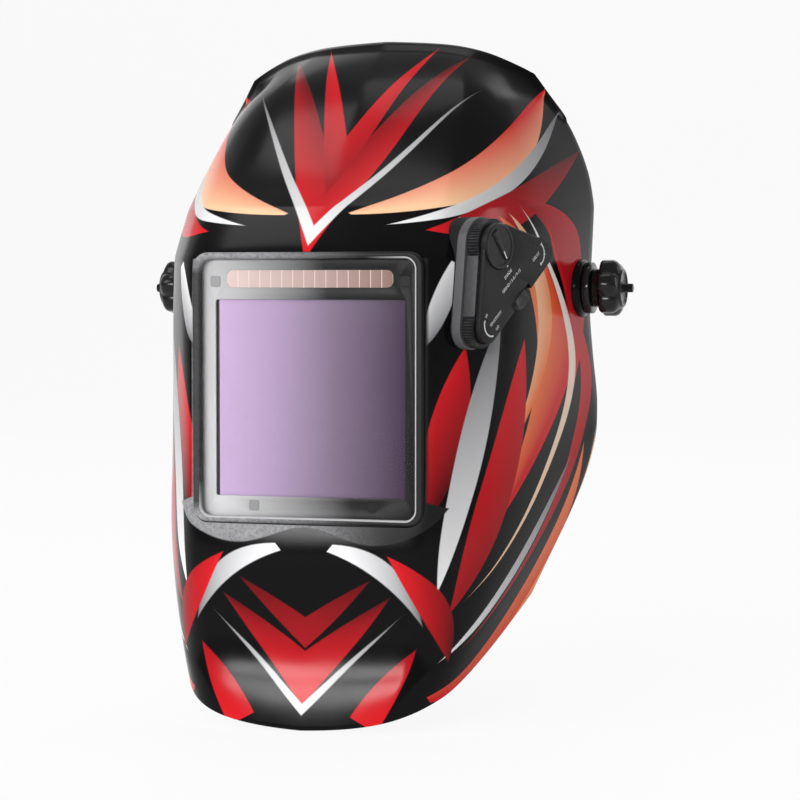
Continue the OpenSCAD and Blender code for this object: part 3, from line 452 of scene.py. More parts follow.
def framed(name, loops, matrix, steps=10):
    """Closed frame whose section runs through the loops, each (width, height, corner radius, depth)."""
    outlines = [[Vector((x, y, depth)) * MM for x, y in rounded_outline(*corners, steps)] for *corners, depth in loops]
    obj = ring_of(name, rounded_outline(*loops[0][:3], steps), loops[0][3], "NOTHING")
    with editing(obj, "EDGE", everything=True) as pick:
        for before, after in zip(outlines, outlines[1:]):
            bpy.ops.mesh.extrude_edges_move(TRANSFORM_OT_translate={"value": (0, 0, 0)})
            shape = bmesh.from_edit_mesh(obj.data)
            for vertex in [v for v in shape.verts if v.select]:
                vertex.co = after[min(range(len(before)), key=lambda n: (before[n] - vertex.co).length_squared)]
            bmesh.update_edit_mesh(obj.data)
        bpy.ops.mesh.select_all(action="DESELECT")
        pick(lambda e: len(e.link_faces) == 1)
        bpy.ops.mesh.bridge_edge_loops()
    return recalculate(placed(obj, matrix))


def refined(node, name, width, body, slot, surface, segments=2):
    """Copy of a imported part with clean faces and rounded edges, which stands for the part."""
    obj = copied(NODES[node], name)
    with editing(obj, everything=True):
        bpy.ops.mesh.customdata_custom_splitnormals_clear()
        bpy.ops.mesh.remove_doubles(threshold=WELD_TRIANGLES)
        bpy.ops.mesh.dissolve_limited(angle_limit=math.radians(0.6))
        bpy.ops.mesh.normals_make_consistent(inside=False)
    round_edges(obj, width, segments)
    # The flat slivers that rounding leaves on tight corners are closed up
    with editing(obj, everything=True):
        bpy.ops.mesh.remove_doubles(threshold=WELD_SLIVERS)
        bpy.ops.mesh.select_all(action="SELECT")
        bpy.ops.mesh.dissolve_degenerate(threshold=FLAT_SLIVERS)
        bpy.ops.mesh.select_all(action="SELECT")
        bpy.ops.mesh.delete_loose(use_verts=True, use_edges=True, use_faces=False)
    finished(obj, body, slot, surface, stands_for=(node,))


def dressed(node, surface):
    """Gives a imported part, whose shape stays, its new material."""
    obj = NODES[node]
    if not obj.material_slots:
        obj.data.materials.append(surface)
    for slot in obj.material_slots:
        slot.material = surface


# ---------------------------------------------------------------- node helpers
class Value:
    """Output of a node that is reckoned with like a number: each sign adds a Math node to its tree."""

    def __init__(self, socket):
        self.socket, self.tree = socket, socket.id_data

    def __add__(self, other):
        return maths("ADD", self, other)

    def __sub__(self, other):
        return maths("SUBTRACT", self, other)

    def __rsub__(self, other):
        return maths("SUBTRACT", other, self)

    def __mul__(self, other):
        return maths("MULTIPLY", self, other)

    def __truediv__(self, other):
        return maths("DIVIDE", self, other)

    def __abs__(self):
        return maths("ABSOLUTE", self)

    def __lt__(self, other):
        return maths("LESS_THAN", self, other)

    def __gt__(self, other):
        return maths("GREATER_THAN", self, other)


def feed(socket, value):
    """Links a value to a socket, or writes a plain number or colour on it."""
    if isinstance(value, Value):
        value.tree.links.new(value.socket, socket)
    elif socket.type == "RGBA" and len(value) == 3:
        socket.default_value = (*value, 1)
    else:
        socket.default_value = value


def add(tree, kind, inputs=(), **settings):
    """Adds a node with its settings; inputs is a list in the sockets' order, or a dict by their names or numbers."""
    node = tree.nodes.new("ShaderNode" + kind)
    node.location = (180 * (len(tree.nodes) % 12), -220 * (len(tree.nodes) // 12))
    for key, value in settings.items():
        setattr(node, key, value)
    for key, value in inputs.items() if isinstance(inputs, dict) else enumerate(inputs):
        feed(node.inputs[key], value)
    return node


def tree_of(values):
    return next(value.tree for value in values if isinstance(value, Value))


def maths(operation, *values):
    return Value(add(tree_of(values), "Math", values, operation=operation).outputs[0])


def vectors(operation, *values):
    node = add(tree_of(values), "VectorMath", values, operation=operation)
    return Value(node.outputs["Value" if operation == "DOT_PRODUCT" else "Vector"])


def clamped(value):
    """Keeps the result of a Math node between 0 and 1."""
    value.socket.node.use_clamp = True
    return value


def split(vector):
    return [Value(socket) for socket in add(vector.tree, "SeparateXYZ", [vector]).outputs]


def mixed(factor, first, second):
    """Colour between two others."""
    values = {0: factor, 6: first, 7: second}
    return Value(add(tree_of(values.values()), "Mix", values, data_type="RGBA").outputs[2])


def between(factor, first, second):
    """Number between two others."""
    return Value(add(factor.tree, "Mix", {0: factor, 2: first, 3: second}, data_type="FLOAT").outputs[0])


def spread(value, low, high, new_low=0.0, new_high=1.0, smooth=False):
    """Maps one range to another and keeps to it."""
    return Value(add(value.tree, "MapRange", (value, low, high, new_low, new_high),
                     interpolation_type="SMOOTHSTEP" if smooth else "LINEAR").outputs[0])


def noise(place, scale, detail=3.0, rough=0.5):
    inputs = {"Vector": place, "Scale": scale, "Detail": detail, "Roughness": rough}
    return Value(add(place.tree, "TexNoise", inputs).outputs["Fac"])


def toned(colour, ratio, lift=0.0):
    """Plain colour made darker or lighter."""
    return tuple(min(part * ratio + lift, 1) for part in colour)


def grey(level, blue=0.0):
    """Neutral colour with a trace of blue."""
    return level, level, level + blue


def shared(name, inputs, outputs):
    """Turns a function into a node group that is built once; inputs are (name, socket kind, default)."""
    def group(builder):
        tree = bpy.data.node_groups.new(name, "ShaderNodeTree")
        for label, kind, value in inputs:
            socket = tree.interface.new_socket(label, in_out="INPUT", socket_type="NodeSocket" + kind)
            if value is not None:
                socket.default_value = value
        for label, kind in outputs:
            tree.interface.new_socket(label, in_out="OUTPUT", socket_type="NodeSocket" + kind)
        start, end = tree.nodes.new("NodeGroupInput"), tree.nodes.new("NodeGroupOutput")
        start.location, end.location = (-300, 0), (2400, 0)
        results = builder(*[Value(start.outputs[label]) for label, kind, value in inputs])
        for (label, kind), result in zip(outputs, results):
            feed(end.inputs[label], result)
        return tree

    def wrap(builder):
        kept = []

        def use(**given):
            """Node of the group, fed by the names of its inputs; gives its outputs in their order."""
            if not kept:
                kept.append(group(builder))
            node = add(tree_of(given.values()), "Group")
            node.node_tree = kept[0]
            for key, value in given.items():
                feed(node.inputs[key.replace("_", " ").capitalize()], value)
            return [Value(socket) for socket in node.outputs]

        return use

    return wrap


def look(builder):
    """Turns a function from object coordinates to the shader's inputs into a material that is built once."""
    kept = {}

    def material_of(name, *values):
        if name in kept:
            return kept[name]
        material = kept[name] = bpy.data.materials.new(name)
        material.use_nodes = True
        tree = material.node_tree
        shader = next(n for n in tree.nodes if n.type == "BSDF_PRINCIPLED")
        shader.location, tree.nodes["Material Output"].location = (2400, 0), (2700, 0)
        inputs = builder(Value(add(tree, "TexCoord").outputs["Object"]), *values)
        if "Bump" in inputs:
            height, depth, strength = inputs.pop("Bump")
            bump = add(tree, "Bump", {"Strength": strength, "Distance": depth * MM, "Height": height})
            inputs["Normal"] = Value(bump.outputs[0])
        for key, value in inputs.items():
            feed(shader.inputs[key], value)
        return material

    return material_of


# ---------------------------------------------------------------- effects that materials share
PLACE = ("Vector", "Vector", None)


@shared("moulded_grain", [PLACE, ("Scale", "Float", 900.0), ("Patches", "Float", 25.0)],
        [("Height", "Float"), ("Tone", "Float")])
def moulded_grain(place, scale, patches):
    """Fine moulded grain with slow patches of tone."""
    fine, slow = noise(place, scale, 2.0, 0.6), noise(place, patches, 3.0, 0.55)
    return fine, slow * 0.75 + fine * 0.25


@shared("edge_wear", [PLACE, ("Amount", "Float", 0.3)], [("Mask", "Float")])
def edge_wear(place, amount):
    """Mask of rubbed edges: convex places, broken up by a noise."""
    edge = spread(Value(add(place.tree, "NewGeometry").outputs["Pointiness"]), 0.515, 0.60)
    return [clamped(edge * spread(noise(place, 420.0, 4.0, 0.65), 0.35, 0.75) * amount)]


@shared("dust", [PLACE, ("Amount", "Float", 0.1)], [("Mask", "Float")])
def dust(place, amount):
    """Soft dust that gathers in patches."""
    slow = spread(noise(place, 14.0, 4.0, 0.6), 0.42, 0.75)
    return [clamped(slow * spread(noise(place, 1500.0, 2.0, 0.6), 0.4, 0.7) * amount)]


@shared("brushed", [PLACE, ("Scale", "Float", 900.0)], [("Line", "Float")])
def brushed(place, scale):
    """Fine lines drawn along X."""
    stretched = add(place.tree, "Mapping", {"Vector": place, "Scale": (0.04, 1.0, 1.0)})
    return [noise(Value(stretched.outputs[0]), scale, 3.0, 0.7)]


@shared("weave", [PLACE, ("Threads", "Float", 1400.0)], [("Height", "Float"), ("Over", "Float")])
def weave(place, threads):
    """Plain weave: two sets of threads that pass over and under each other."""
    x, y, z = split(place)
    a, b = (x + y) * threads, z * threads
    over = spread(maths("COSINE", a) * maths("COSINE", b), -0.25, 0.25)
    return between(over, abs(maths("SINE", a)), abs(maths("SINE", b))), over


@shared("blade",
        [("U", "Float", None), ("V", "Float", None), ("Under", "Color", None), ("Start", "Vector", None),
         ("Along", "Vector", None), ("Bulge", "Float", 0.0), ("Width start", "Float", 0.0),
         ("Width middle", "Float", 0.05), ("Width end", "Float", 0.0), ("Tilt", "Float", 0.0),
         ("Colour start", "Color", None), ("Colour end", "Color", None)],
        [("Colour", "Color"), ("Mask", "Float")])
def painted_blade(u, v, under, start, along, bulge, wide_start, wide_middle, wide_end, tilt, colour_start, colour_end):
    """One painted blade on the sheet of the shell: a curved, pointed stripe laid over what is under it."""
    away = vectors("SUBTRACT", Value(add(u.tree, "CombineXYZ", (u, v)).outputs[0]), start)
    # Along is the blade's whole length, so this is the share of the way along it
    square = vectors("DOT_PRODUCT", along, along)
    share = vectors("DOT_PRODUCT", away, along) / square
    rest = 1.0 - share
    middle = share * rest
    height = split(vectors("CROSS_PRODUCT", along, away))[2]
    beside = height / maths("SQRT", square) - bulge * 4.0 * middle
    half = maths("MAXIMUM", wide_start * (rest * rest) + wide_end * (share * share) + wide_middle * 2.0 * middle, 0.0)
    # The edge is a few hundredths of a millimetre soft, so that it stays clean at any size
    inside, ends = (half - abs(beside)) * 160.0, maths("MINIMUM", share, rest) * 400.0
    mask = maths("MAXIMUM", maths("MINIMUM", maths("MINIMUM", inside, ends), 1.0), 0.0)
    fade = clamped(share + beside * tilt / maths("MAXIMUM", half, 0.002) * 0.5)
    return mixed(mask, under, mixed(fade, colour_start, colour_end)), mask


@shared("sanded_and_painted_light", [PLACE, ("Smoke", "Float", 0.5), ("Dark", "Color", (0.010, 0.010, 0.010, 1)),
                   ("Light", "Color", (0.2, 0.2, 0.2, 1))], [("Colour", "Color"), ("Height", "Float")])
def sanded_and_painted_light(place, smoke, dark, light):
    """Sanded satin plastic with painted light: the mask mixes the dark colour towards the painted light colour. Gives
    its colour and its grain's height.
    """
    sand, drift = noise(place, 620.0, 3.0, 0.8), noise(place, 60.0, 4.0, 0.65)
    # Painted light: how much of the light colour is painted, broken up by slow patches and by the sand's grain
    smoke = smoke * spread(drift, 0.25, 0.75, 0.72, 1.0)
    return mixed(clamped(smoke * spread(sand, 0.30, 0.70, 0.55, 1.30)), dark, light), sand


# ---------------------------------------------------------------- materials
@look
def plastic(place, colour, rough, grain, depth, wear, coat=0.0):
    """Moulded plastic: patchy tone, fine grain, rubbed edges and a little dust."""
    height, tone = moulded_grain(vector=place, scale=grain, patches=22.0)
    [rubbed], [dusty] = edge_wear(vector=place, amount=wear), dust(vector=place, amount=0.07)
    base = mixed(rubbed, mixed(tone, toned(colour, 0.72), toned(colour, 1.35, 0.002)), toned(colour, 2.2, 0.03))
    return {"Base Color": mixed(dusty, base, (0.11, 0.107, 0.104)),
            "Roughness": clamped(spread(tone, 0.25, 0.75, rough - 0.06, rough + 0.07) + dusty * 0.3),
            "Specular IOR Level": 0.2, "Coat Weight": coat, "Coat Roughness": 0.08, "Coat IOR": 1.35,
            "Bump": (height, depth, 0.6)}


@look
def steel(place, colour, rough, threads=0.0):
    """Plated steel with drawn lines; threads gives the bolt's screw pitch in millimetres."""
    [line] = brushed(vector=place, scale=1600.0)
    tone = line * 0.5 + noise(place, 60.0) * 0.5
    bump = line, 0.01, 0.7
    if threads:
        x = split(place)[0]
        bump = maths("SINE", x * (2 * math.pi / (threads * MM))) * (abs(x) > (BOSS_OUT + 0.5) * MM), 0.25, 0.7
    return {"Base Color": mixed(tone, toned(colour, 0.7), colour), "Metallic": 1.0,
            "Roughness": spread(tone, 0.3, 0.7, rough - 0.06, rough + 0.10), "Bump": bump}


@look
def fabric(place, colour, threads):
    """Woven cover of a pad."""
    height, over = weave(vector=place, threads=threads)
    tone = mixed(over, toned(colour, 0.7), colour)
    return {"Base Color": mixed(noise(place, 35.0, 4.0, 0.6) * 0.6, tone, toned(colour, 0.45)),
            "Roughness": spread(height, 0.0, 1.0, 0.95, 0.78), "Sheen Weight": 0.35, "Sheen Roughness": 0.45,
            "Bump": (height, 0.25, 0.8)}


@look
def clear_plastic(place, alpha):
    """Clear lens: nearly see-through, with faint smears that change its gloss."""
    smear = noise(place, 30.0, 5.0, 0.6)
    return {"Base Color": mixed(smear, (0.010, 0.011, 0.012), (0.030, 0.032, 0.034)),
            "Roughness": spread(smear, 0.4, 0.75, 0.02, 0.07), "Alpha": alpha, "IOR": 1.49}


@look
def filter_glass(place):
    """Coated filter glass: violet on the wearer's right, darker towards the left, with a painted shadow along the
    recess's edge on the wearer's right.
    """
    x, haze = split(place)[0], noise(place, 18.0, 2.0, 0.4)
    across = clamped(spread(x, -0.049, 0.050) + (haze - 0.5) * 0.05)
    bands = add(place.tree, "ValToRGB", [across])
    light = colours().violet
    stops = [(0.0, light), (0.30, toned(light, 0.72)), (0.62, toned(light, 0.34)), (1.0, colours().plum)]
    while len(bands.color_ramp.elements) < len(stops):
        bands.color_ramp.elements.new(0.5)
    for element, (position, colour) in zip(bands.color_ramp.elements, stops):
        element.position, element.color = position, (*colour, 1)
    # Painted shadow: a dark strip along the recess's edge on the wearer's right, where the recess's wall shades the
    # glass
    return {"Base Color": mixed(x < -0.0466, Value(bands.outputs[0]), (0.045, 0.042, 0.05)),
            "Roughness": spread(haze, 0.3, 0.7, 0.16, 0.22), "Specular IOR Level": 0.25}


@look
def filter_face(place, shade=1.0):
    """Satin silver face of the cartridge, with painted light on the wearer's right and painted shade towards the left.
    """
    x, _, z = split(place)
    height, fine = moulded_grain(vector=place, scale=2200.0, patches=30.0)
    # Painted light and shade: light grey on the wearer's right, going to near black on the left
    across = spread(x + z * 0.12, -0.058, 0.050)
    tone = mixed(spread(across, 0.0, 0.62), grey(0.70, 0.01), grey(0.014, 0.001))
    tone = mixed(fine * 0.10, mixed(spread(across, 0.52, 1.0), tone, grey(0.006)), grey(0.04))
    return {"Base Color": mixed(shade, grey(0.0), tone), "Roughness": spread(fine, 0.3, 0.7, 0.34, 0.46),
            "Specular IOR Level": 0.14, "Bump": (height, 0.02, 0.5)}


@look
def solar_cells(place):
    """Copper-toned solar strip of fifteen cells with fine bus lines, and a painted sheen at the wearer's right end."""
    x, _, z = split(place)
    cells, strip, solar = 15, 84 * MM, colours().solar
    run = (x + strip / 2) / (strip / cells)
    cell = maths("FRACT", run)
    gap = maths("MINIMUM", cell, 1.0 - cell) < 0.035
    tint = Value(add(place.tree, "TexWhiteNoise", {"W": maths("FLOOR", run)}, noise_dimensions="1D").outputs["Value"])
    lines = maths("FRACT", z * 900.0) < 0.14
    # Painted sheen: pale at the wearer's right end, going to dark copper at the left
    base = mixed(spread(x, -0.045, 0.045), toned(solar, 0.6, 0.46), toned(solar, 0.42))
    base = mixed(lines * 0.16, mixed(tint * 0.14, base, (0.34, 0.17, 0.13)), (0.70, 0.52, 0.45))
    return {"Base Color": mixed(gap * 0.65, base, (0.88, 0.74, 0.68)),
            "Roughness": spread(tint, 0.0, 1.0, 0.22, 0.32), "Specular IOR Level": 0.3}


@look
def circuit_board(place):
    """Green board with pale pads and copper tracks."""
    cells = add(place.tree, "TexVoronoi", {"Vector": place, "Scale": 300.0}, feature="F1", distance="CHEBYCHEV")
    pads = Value(cells.outputs["Distance"]) < 0.2
    tracks = maths("SINE", noise(place, 90.0, 1.0) * 60.0) > 0.8
    return {"Base Color": mixed(pads, mixed(tracks, (0.012, 0.10, 0.045), (0.03, 0.19, 0.09)), (0.55, 0.50, 0.38)),
            "Roughness": spread(pads, 0.0, 1.0, 0.42, 0.25)}


@look
def marking(place):
    """White printed marks, a little worn."""
    worn = noise(place, 900.0, 4.0, 0.7)
    return {"Base Color": mixed(spread(worn, 0.55, 0.75), grey(0.72), grey(0.40, 0.01)),
            "Roughness": spread(worn, 0.3, 0.7, 0.45, 0.6)}


@look
def skirt_plastic(place):
    """Grey moulded skirt of the control unit, black where its gasket meets the shell."""
    height, tone = moulded_grain(vector=place, scale=1500.0, patches=22.0)
    outwards = UNIT.to_3x3() @ Vector((0, 0, 1))
    gasket = vectors("DOT_PRODUCT", place, outwards) < UNIT.translation.dot(outwards) - 4.3 * MM
    base = mixed(tone, grey(0.050, 0.003), grey(0.095, 0.005))
    return {"Base Color": mixed(gasket, base, grey(0.005)), "Roughness": spread(gasket, 0.0, 1.0, 0.38, 0.7),
            "Specular IOR Level": 0.25, "Bump": (height, 0.02, 0.6)}


def black_plastic():
    return plastic("moulded_black", colours().plastic, 0.46, 1100.0, 0.03, 0.35)


def rubber():
    return plastic("washer_rubber", grey(0.010), 0.72, 700.0, 0.04, 0.1)


def gloss_black():
    return plastic("gloss_black", grey(0.004, 0.0005), 0.20, 500.0, 0.004, 0.15, 0.25)


def nylon():
    return plastic("band_nylon", grey(0.034, 0.002), 0.40, 900.0, 0.025, 0.3)


def zinc():
    return steel("zinc_plate", (0.62, 0.63, 0.65), 0.34)


def white_print():
    return marking("white_print")


# ---------------------------------------------------------------- the painted shell
# Blades on the sheet of the shell, laid over each other in this order. U is the distance from the middle
# in decimetres, the same to both sides, and V is the way up the middle of the side from the chin's rim.
# Start, end, bulge, half widths at start, middle and end, lean of the fade, colour at start and at end.
BLADES = [
    # crown
    ((-0.11, 2.22), (0.48, 3.74), 0.00, (0.120, 0.082, 0.000), 0.4, "red", "dark_red"),
    ((-0.07, 2.62), (0.30, 3.78), 0.00, (0.073, 0.052, 0.000), 0.3, "wine", "red"),
    ((-0.04, 2.25), (0.62, 3.45), 0.00, (0.033, 0.021, 0.000), 0.0, "white", "grey"),
    # dome
    ((0.16, 2.46), (0.92, 3.66), -0.37, (0.012, 0.167, 0.000), 0.6, "cream", "red"),
    ((0.35, 2.39), (1.13, 3.44), -0.30, (0.000, 0.069, 0.000), 0.0, "white", "grey"),
    ((0.55, 2.36), (1.49, 3.05), -0.18, (0.000, 0.154, 0.000), 0.3, "red", "dark_red"),
    # crescent
    ((0.96, 2.61), (1.70, 1.01), 0.60, (0.000, 0.154, 0.000), 0.3, "wine", "red"),
    ((0.95, 2.47), (0.89, 0.77), 0.73, (0.000, 0.231, 0.000), 1.2, "orange", "red"),
    ((1.02, 2.49), (1.06, 1.09), 0.47, (0.000, 0.085, 0.000), 0.6, "cream", "orange"),
    ((1.08, 2.55), (0.79, 0.51), 0.93, (0.000, 0.050, 0.000), 0.0, "white", "cream"),
    ((1.36, 2.47), (0.78, 0.23), 1.00, (0.000, 0.085, 0.000), 0.4, "red", "wine"),
    # claw
    ((0.76, 2.16), (0.56, 1.75), 0.00, (0.037, 0.060, 0.000), 0.3, "white", "grey"),
    ((0.82, 1.76), (0.61, 0.97), 0.00, (0.000, 0.121, 0.000), 0.5, "red", "dark_red"),
    ((1.07, 1.90), (0.65, 0.60), 0.00, (0.000, 0.096, 0.000), 0.1, "grey", "white"),
    ((1.28, 1.74), (0.71, 0.48), 0.10, (0.000, 0.138, 0.000), 0.5, "red", "wine"),
    # jaw
    ((2.04, 0.83), (0.64, 0.04), 0.38, (0.000, 0.154, 0.027), 0.4, "orange", "red"),
    ((2.22, 0.86), (0.92, 0.00), 0.36, (0.000, 0.046, 0.000), 0.0, "cream", "orange"),
    ((1.87, 0.85), (0.66, 0.24), 0.05, (0.000, 0.046, 0.000), 0.0, "grey", "white"),
    # chin
    ((-0.07, 0.18), (0.43, 0.61), 0.00, (0.095, 0.063, 0.000), 0.3, "red", "dark_red"),
    ((-0.05, 0.40), (0.34, 0.69), 0.00, (0.066, 0.041, 0.000), 0.2, "wine", "dark_red"),
    ((-0.03, 0.07), (0.49, 0.53), 0.00, (0.023, 0.014, 0.000), 0.0, "white", "grey"),
    ((0.31, 0.01), (0.55, 0.36), 0.00, (0.084, 0.065, 0.000), 0.3, "red", "wine"),
    # cheek
    ((0.13, 0.83), (0.58, 0.45), 0.09, (0.025, 0.048, 0.000), 0.2, "white", "grey"),
    ((0.41, 0.80), (0.74, 0.20), 0.07, (0.000, 0.073, 0.000), 0.4, "red", "dark_red"),
]


@look
def window_satin(place):
    """Sanded satin of the window's frame, painted light towards the wearer's right, with a painted highlight line along
    the opening on the wearer's left and at the bottom.
    """
    across, _, z = split(place)
    rise = z + VIEW_DROP * MM
    # Painted light: lighter towards the wearer's right, fully on the top and bottom bars and only faintly on the side
    # bar
    smoke = spread(across, 0.036, -0.036, smooth=True) * spread(abs(rise), 0.055, 0.062, 0.12, 1.0)
    colour, height = sanded_and_painted_light(vector=place, smoke=smoke, dark=toned(colours().satin, 0.6), light=colours().smoke)
    # Distance outwards from the rounded opening
    corner = VIEW_CORNER * MM
    side = maths("MAXIMUM", abs(across) - (VIEW_W / 2 * MM - corner), 0.0)
    end = maths("MAXIMUM", abs(rise) - (VIEW_H / 2 * MM - corner), 0.0)
    away = maths("SQRT", side * side + end * end)
    # Painted highlight: a light line just outside the opening's edge, kept to the wearer's left side and the bottom
    line = spread(abs(away - (corner + 0.45 * MM)), 0.30 * MM, 0.60 * MM, 1.0, 0.0)
    line = line * maths("MAXIMUM", spread(across, 0.030, 0.050), spread(rise, -0.045, -0.060)) * 0.75
    return {"Base Color": mixed(line, colour, grey(0.60, 0.01)), "Roughness": spread(height, 0.3, 0.7, 0.40, 0.52),
            "Specular IOR Level": 0.14, "Bump": (height, 0.03, 0.6)}


@look
def shell_paint(place):
    """Gloss paint with its blades, and the satin surround of the window with painted light across it."""
    x, v, _ = split(Value(add(place.tree, "UVMap", uv_map="paint").outputs[0]))
    u, tones = abs(x), colours()
    colour = mixed(noise(place, 5200.0, 1.0), toned(tones.black, 0.8), toned(tones.black, 1.25))
    for start, end, bulge, (wide, middle, thin), tilt, first, last in BLADES:
        colour, _ = painted_blade(
            u=u, v=v, under=colour, start=(*start, 0), along=(end[0] - start[0], end[1] - start[1], 0), bulge=bulge,
            width_start=wide, width_middle=2 * middle - (wide + thin) / 2, width_end=thin, tilt=tilt,
            colour_start=getattr(tones, first), colour_end=getattr(tones, last))
    # Satin surround: the flat front around the window, ending in a wave under it
    hump, outer = maths("EXPONENT", u * u * -22.0), maths("MAXIMUM", u - 0.30, 0.0)
    above = clamped((v - (hump * 0.085 + 0.835 + outer * outer * 0.9)) * 120.0)
    below = clamped((2.192 - v) * 120.0)
    within = clamped((spread(v, 0.98, 1.05, 0.78, 0.605) - u) * 60.0)
    satin = above * below * within
    # Painted light: the satin surround is painted light towards the wearer's right, going to dark satin towards the
    # left
    satin_with_painted_light, sand = sanded_and_painted_light(vector=place, smoke=spread(x, 0.46, -0.16, smooth=True), dark=toned(tones.satin, 0.6),
                        light=tones.smoke)
    peel = noise(place, 260.0, 1.0, 0.4) * (1.0 - satin)
    return {"Base Color": mixed(satin, colour, satin_with_painted_light), "Specular IOR Level": 0.11,
            "Roughness": between(satin, spread(noise(place, 40.0), 0.3, 0.7, 0.13, 0.18), 0.42),
            "Bump": (peel * 0.35 + sand * satin, 0.02, 0.6)}


def paint_sheet(obj, where=None):
    """UV map of the paint; where gives a vertex's place on the sheet, and without it the place is bare ground."""
    layer = obj.data.uv_layers.get("paint") or obj.data.uv_layers.new(name="paint")
    for loop in obj.data.loops:
        layer.data[loop.index].uv = where[loop.vertex_index] if where else (6.0, 6.0)
    for other in [x for x in obj.data.uv_layers if x.name != "paint"]:
        obj.data.uv_layers.remove(other)


def two_coats(obj):
    """Paint outside and plain black plastic inside."""
    for surface in (shell_paint("shell_paint"), black_plastic()):
        obj.data.materials.append(surface)


# ---------------------------------------------------------------- shell, window and cartridge
LIP_END, LIP_FADE, LIP_LOW, LIP_SLOPE = 5.2, 2.4, 90, 1.5
BEZEL_W, BEZEL_H = VIEW_W + 8.4, VIEW_H + 6.4
SIDES = (("left", 1), ("right", -1))


class HELMET_OT_shell(bpy.types.Operator):
    """Builds the painted shell from one curved sheet"""

    bl_idname = "helmet.shell"
    bl_label = "Shell"

    def execute(self, context):
        size = sizes()
        columns, rows = size.shell_columns, size.shell_rows
        half = columns // 2
        deselect_all()
        bpy.ops.mesh.primitive_grid_add(x_subdivisions=columns, y_subdivisions=rows, size=2)
        shell = made("shell_skin")
        lines = [[spline(rib, n / half) * MM for n in range(half + 1)]
                 for rib in (shell_rib(row / rows) for row in range(rows + 1))]
        lengths = [self.run(line) for line in lines]
        rise = self.run([line[half // 2] for line in lines])
        where, lip = [], []
        for vertex in shell.data.vertices:
            row, column = round((vertex.co.y + 1) / 2 * rows), round(vertex.co.x * half)
            vertex.co = lines[row][abs(column)]
            side = -1 if column < 0 else 1
            vertex.co.x *= side
            where.append((side * lengths[row][abs(column)], rise[row]))
            # The lip follows the crown's rim and runs out on the sides; these two are in millimetres
            to_side = (lengths[row][half] - lengths[row][abs(column)]) * 100
            to_side += max(0.0, LIP_LOW - vertex.co.z / MM) * LIP_SLOPE
            to_rim = min((rise[rows] - rise[row]) * 100, to_side)
            lip.append(size.rim_lip * max(0.0, min(1.0, (LIP_END - to_rim) / LIP_FADE)))
        shell.data.update()
        outwards = [v.normal.copy() for v in shell.data.vertices]
        for vertex, normal, height in zip(shell.data.vertices, outwards, lip):
            vertex.co += normal * height
        paint_sheet(shell, where)
        two_coats(shell)
        modify(shell, "SOLIDIFY", thickness=size.shell_wall, offset=-1, use_even_offset=True, material_offset=1,
               material_offset_rim=1, use_quality_normals=True)
        bevel(shell, size.rim_round / MM, 3, 50)
        for operation, helper in (("UNION", self.bosses()), ("DIFFERENCE", self.cutter())):
            modify(shell, "BOOLEAN", operation=operation, solver="EXACT", object=helper)
            bpy.data.objects.remove(helper)
        soften(shell, 32)
        finished(shell, "shell", "shell_gloss", stands_for=("shell",))
        return {"FINISHED"}

    def run(self, line):
        """Length along a line up to each of its points, in decimetres."""
        lengths = [0.0]
        for a, b in zip(line, line[1:]):
            lengths.append(lengths[-1] + (b - a).length * 10)
        return lengths

    def bosses(self):
        """The two round seats of the side pivots, left in the black ground coat."""
        rise = BOSS_OUT - BOSS_IN
        rings = [(BOSS_R, 0), (BOSS_R, rise - 1.2), (BOSS_R - 0.5, rise - 0.4), (BOSS_R - 1.3, rise)]
        return self.prepared("boss_pair", 0, [placed(turned("boss", rings, 72), at_side(side, BOSS_IN))
                                              for _, side in SIDES])

    def cutter(self):
        """Everything that is cut out of the shell: window, bores, pin holes and the control unit's seat."""
        window = slab("window", rounded_outline(VIEW_W + 8.7, VIEW_H + 6.7, 8, 12), -30, 30)
        tools = [placed(window, upright(FRONT, -VIEW_DROP)), placed(slab("seat", unit_outline(0.15), -16.5, 6.5), UNIT)]
        for _, side in SIDES:
            bore = turned("bore", [(BUSH_R + PLAY, -10), (BUSH_R + PLAY, 20)])
            pin = turned("pin", [(PIN_R + PLAY, -10), (PIN_R + PLAY, 4.15)], 32)
            tools.append(placed(bore, at_side(side, BOSS_IN)))
            tools.append(placed(pin, at_side(side, BOSS_IN) @ shift(STOP_R, 0, 0)))
        return self.prepared("shell_cutter", 1, tools)

    def prepared(self, name, coat, tools):
        """Tools joined into one, whose faces bring one of the two coats."""
        tool = recalculate(joined(name, *tools))
        paint_sheet(tool)
        two_coats(tool)
        for face in tool.data.polygons:
            face.material_index = coat
        return tool


class HELMET_OT_window(bpy.types.Operator):
    """Dresses the window: frame, gasket and clear lenses"""

    bl_idname = "helmet.window"
    bl_label = "Window"

    def execute(self, context):
        self.bezel()
        dressed("lens_gasket", rubber())
        dressed("cover_lens", clear_plastic("cover_clear", 0.05))
        dressed("inner_cover_lens", clear_plastic("inner_clear", 0.12))
        return {"FINISHED"}

    def bezel(self):
        """Frame around the window: rounded face, bead at the opening and the lens's rebate behind it."""
        face, seat, back = 1.2, -1.8, -3.8
        # Growth in width and height over the frame's outside or the opening, corner radius and depth
        outside = [(0, 0, 7.6, back), (0, 0, 7.6, face - 1.0), (-0.3, -0.3, 7.5, face - 0.45),
                   (-1.1, -1.1, 7.1, face - 0.08), (-2.0, -2.0, 6.7, face)]
        opening = [(3.4, 2.6, 6.2, face), (1.7, 1.5, 5.8, face - 0.12), (0.5, 0.5, 5.3, face - 0.55),
                   (0, 0, VIEW_CORNER, face - 1.2), (0, 0, VIEW_CORNER, seat), (4.4, 4.4, 6.4, seat),
                   (4.4, 4.4, 6.4, back)]
        loops = [(BEZEL_W + w, BEZEL_H + h, *rest) for w, h, *rest in outside]
        loops += [(VIEW_W + w, VIEW_H + h, *rest) for w, h, *rest in opening]
        piece = soften(framed("window_frame", loops, upright(FRONT, -VIEW_DROP)), 40)
        finished(piece, "shell", "satin_black", window_satin("window_satin"), stands_for=("window_bezel",))


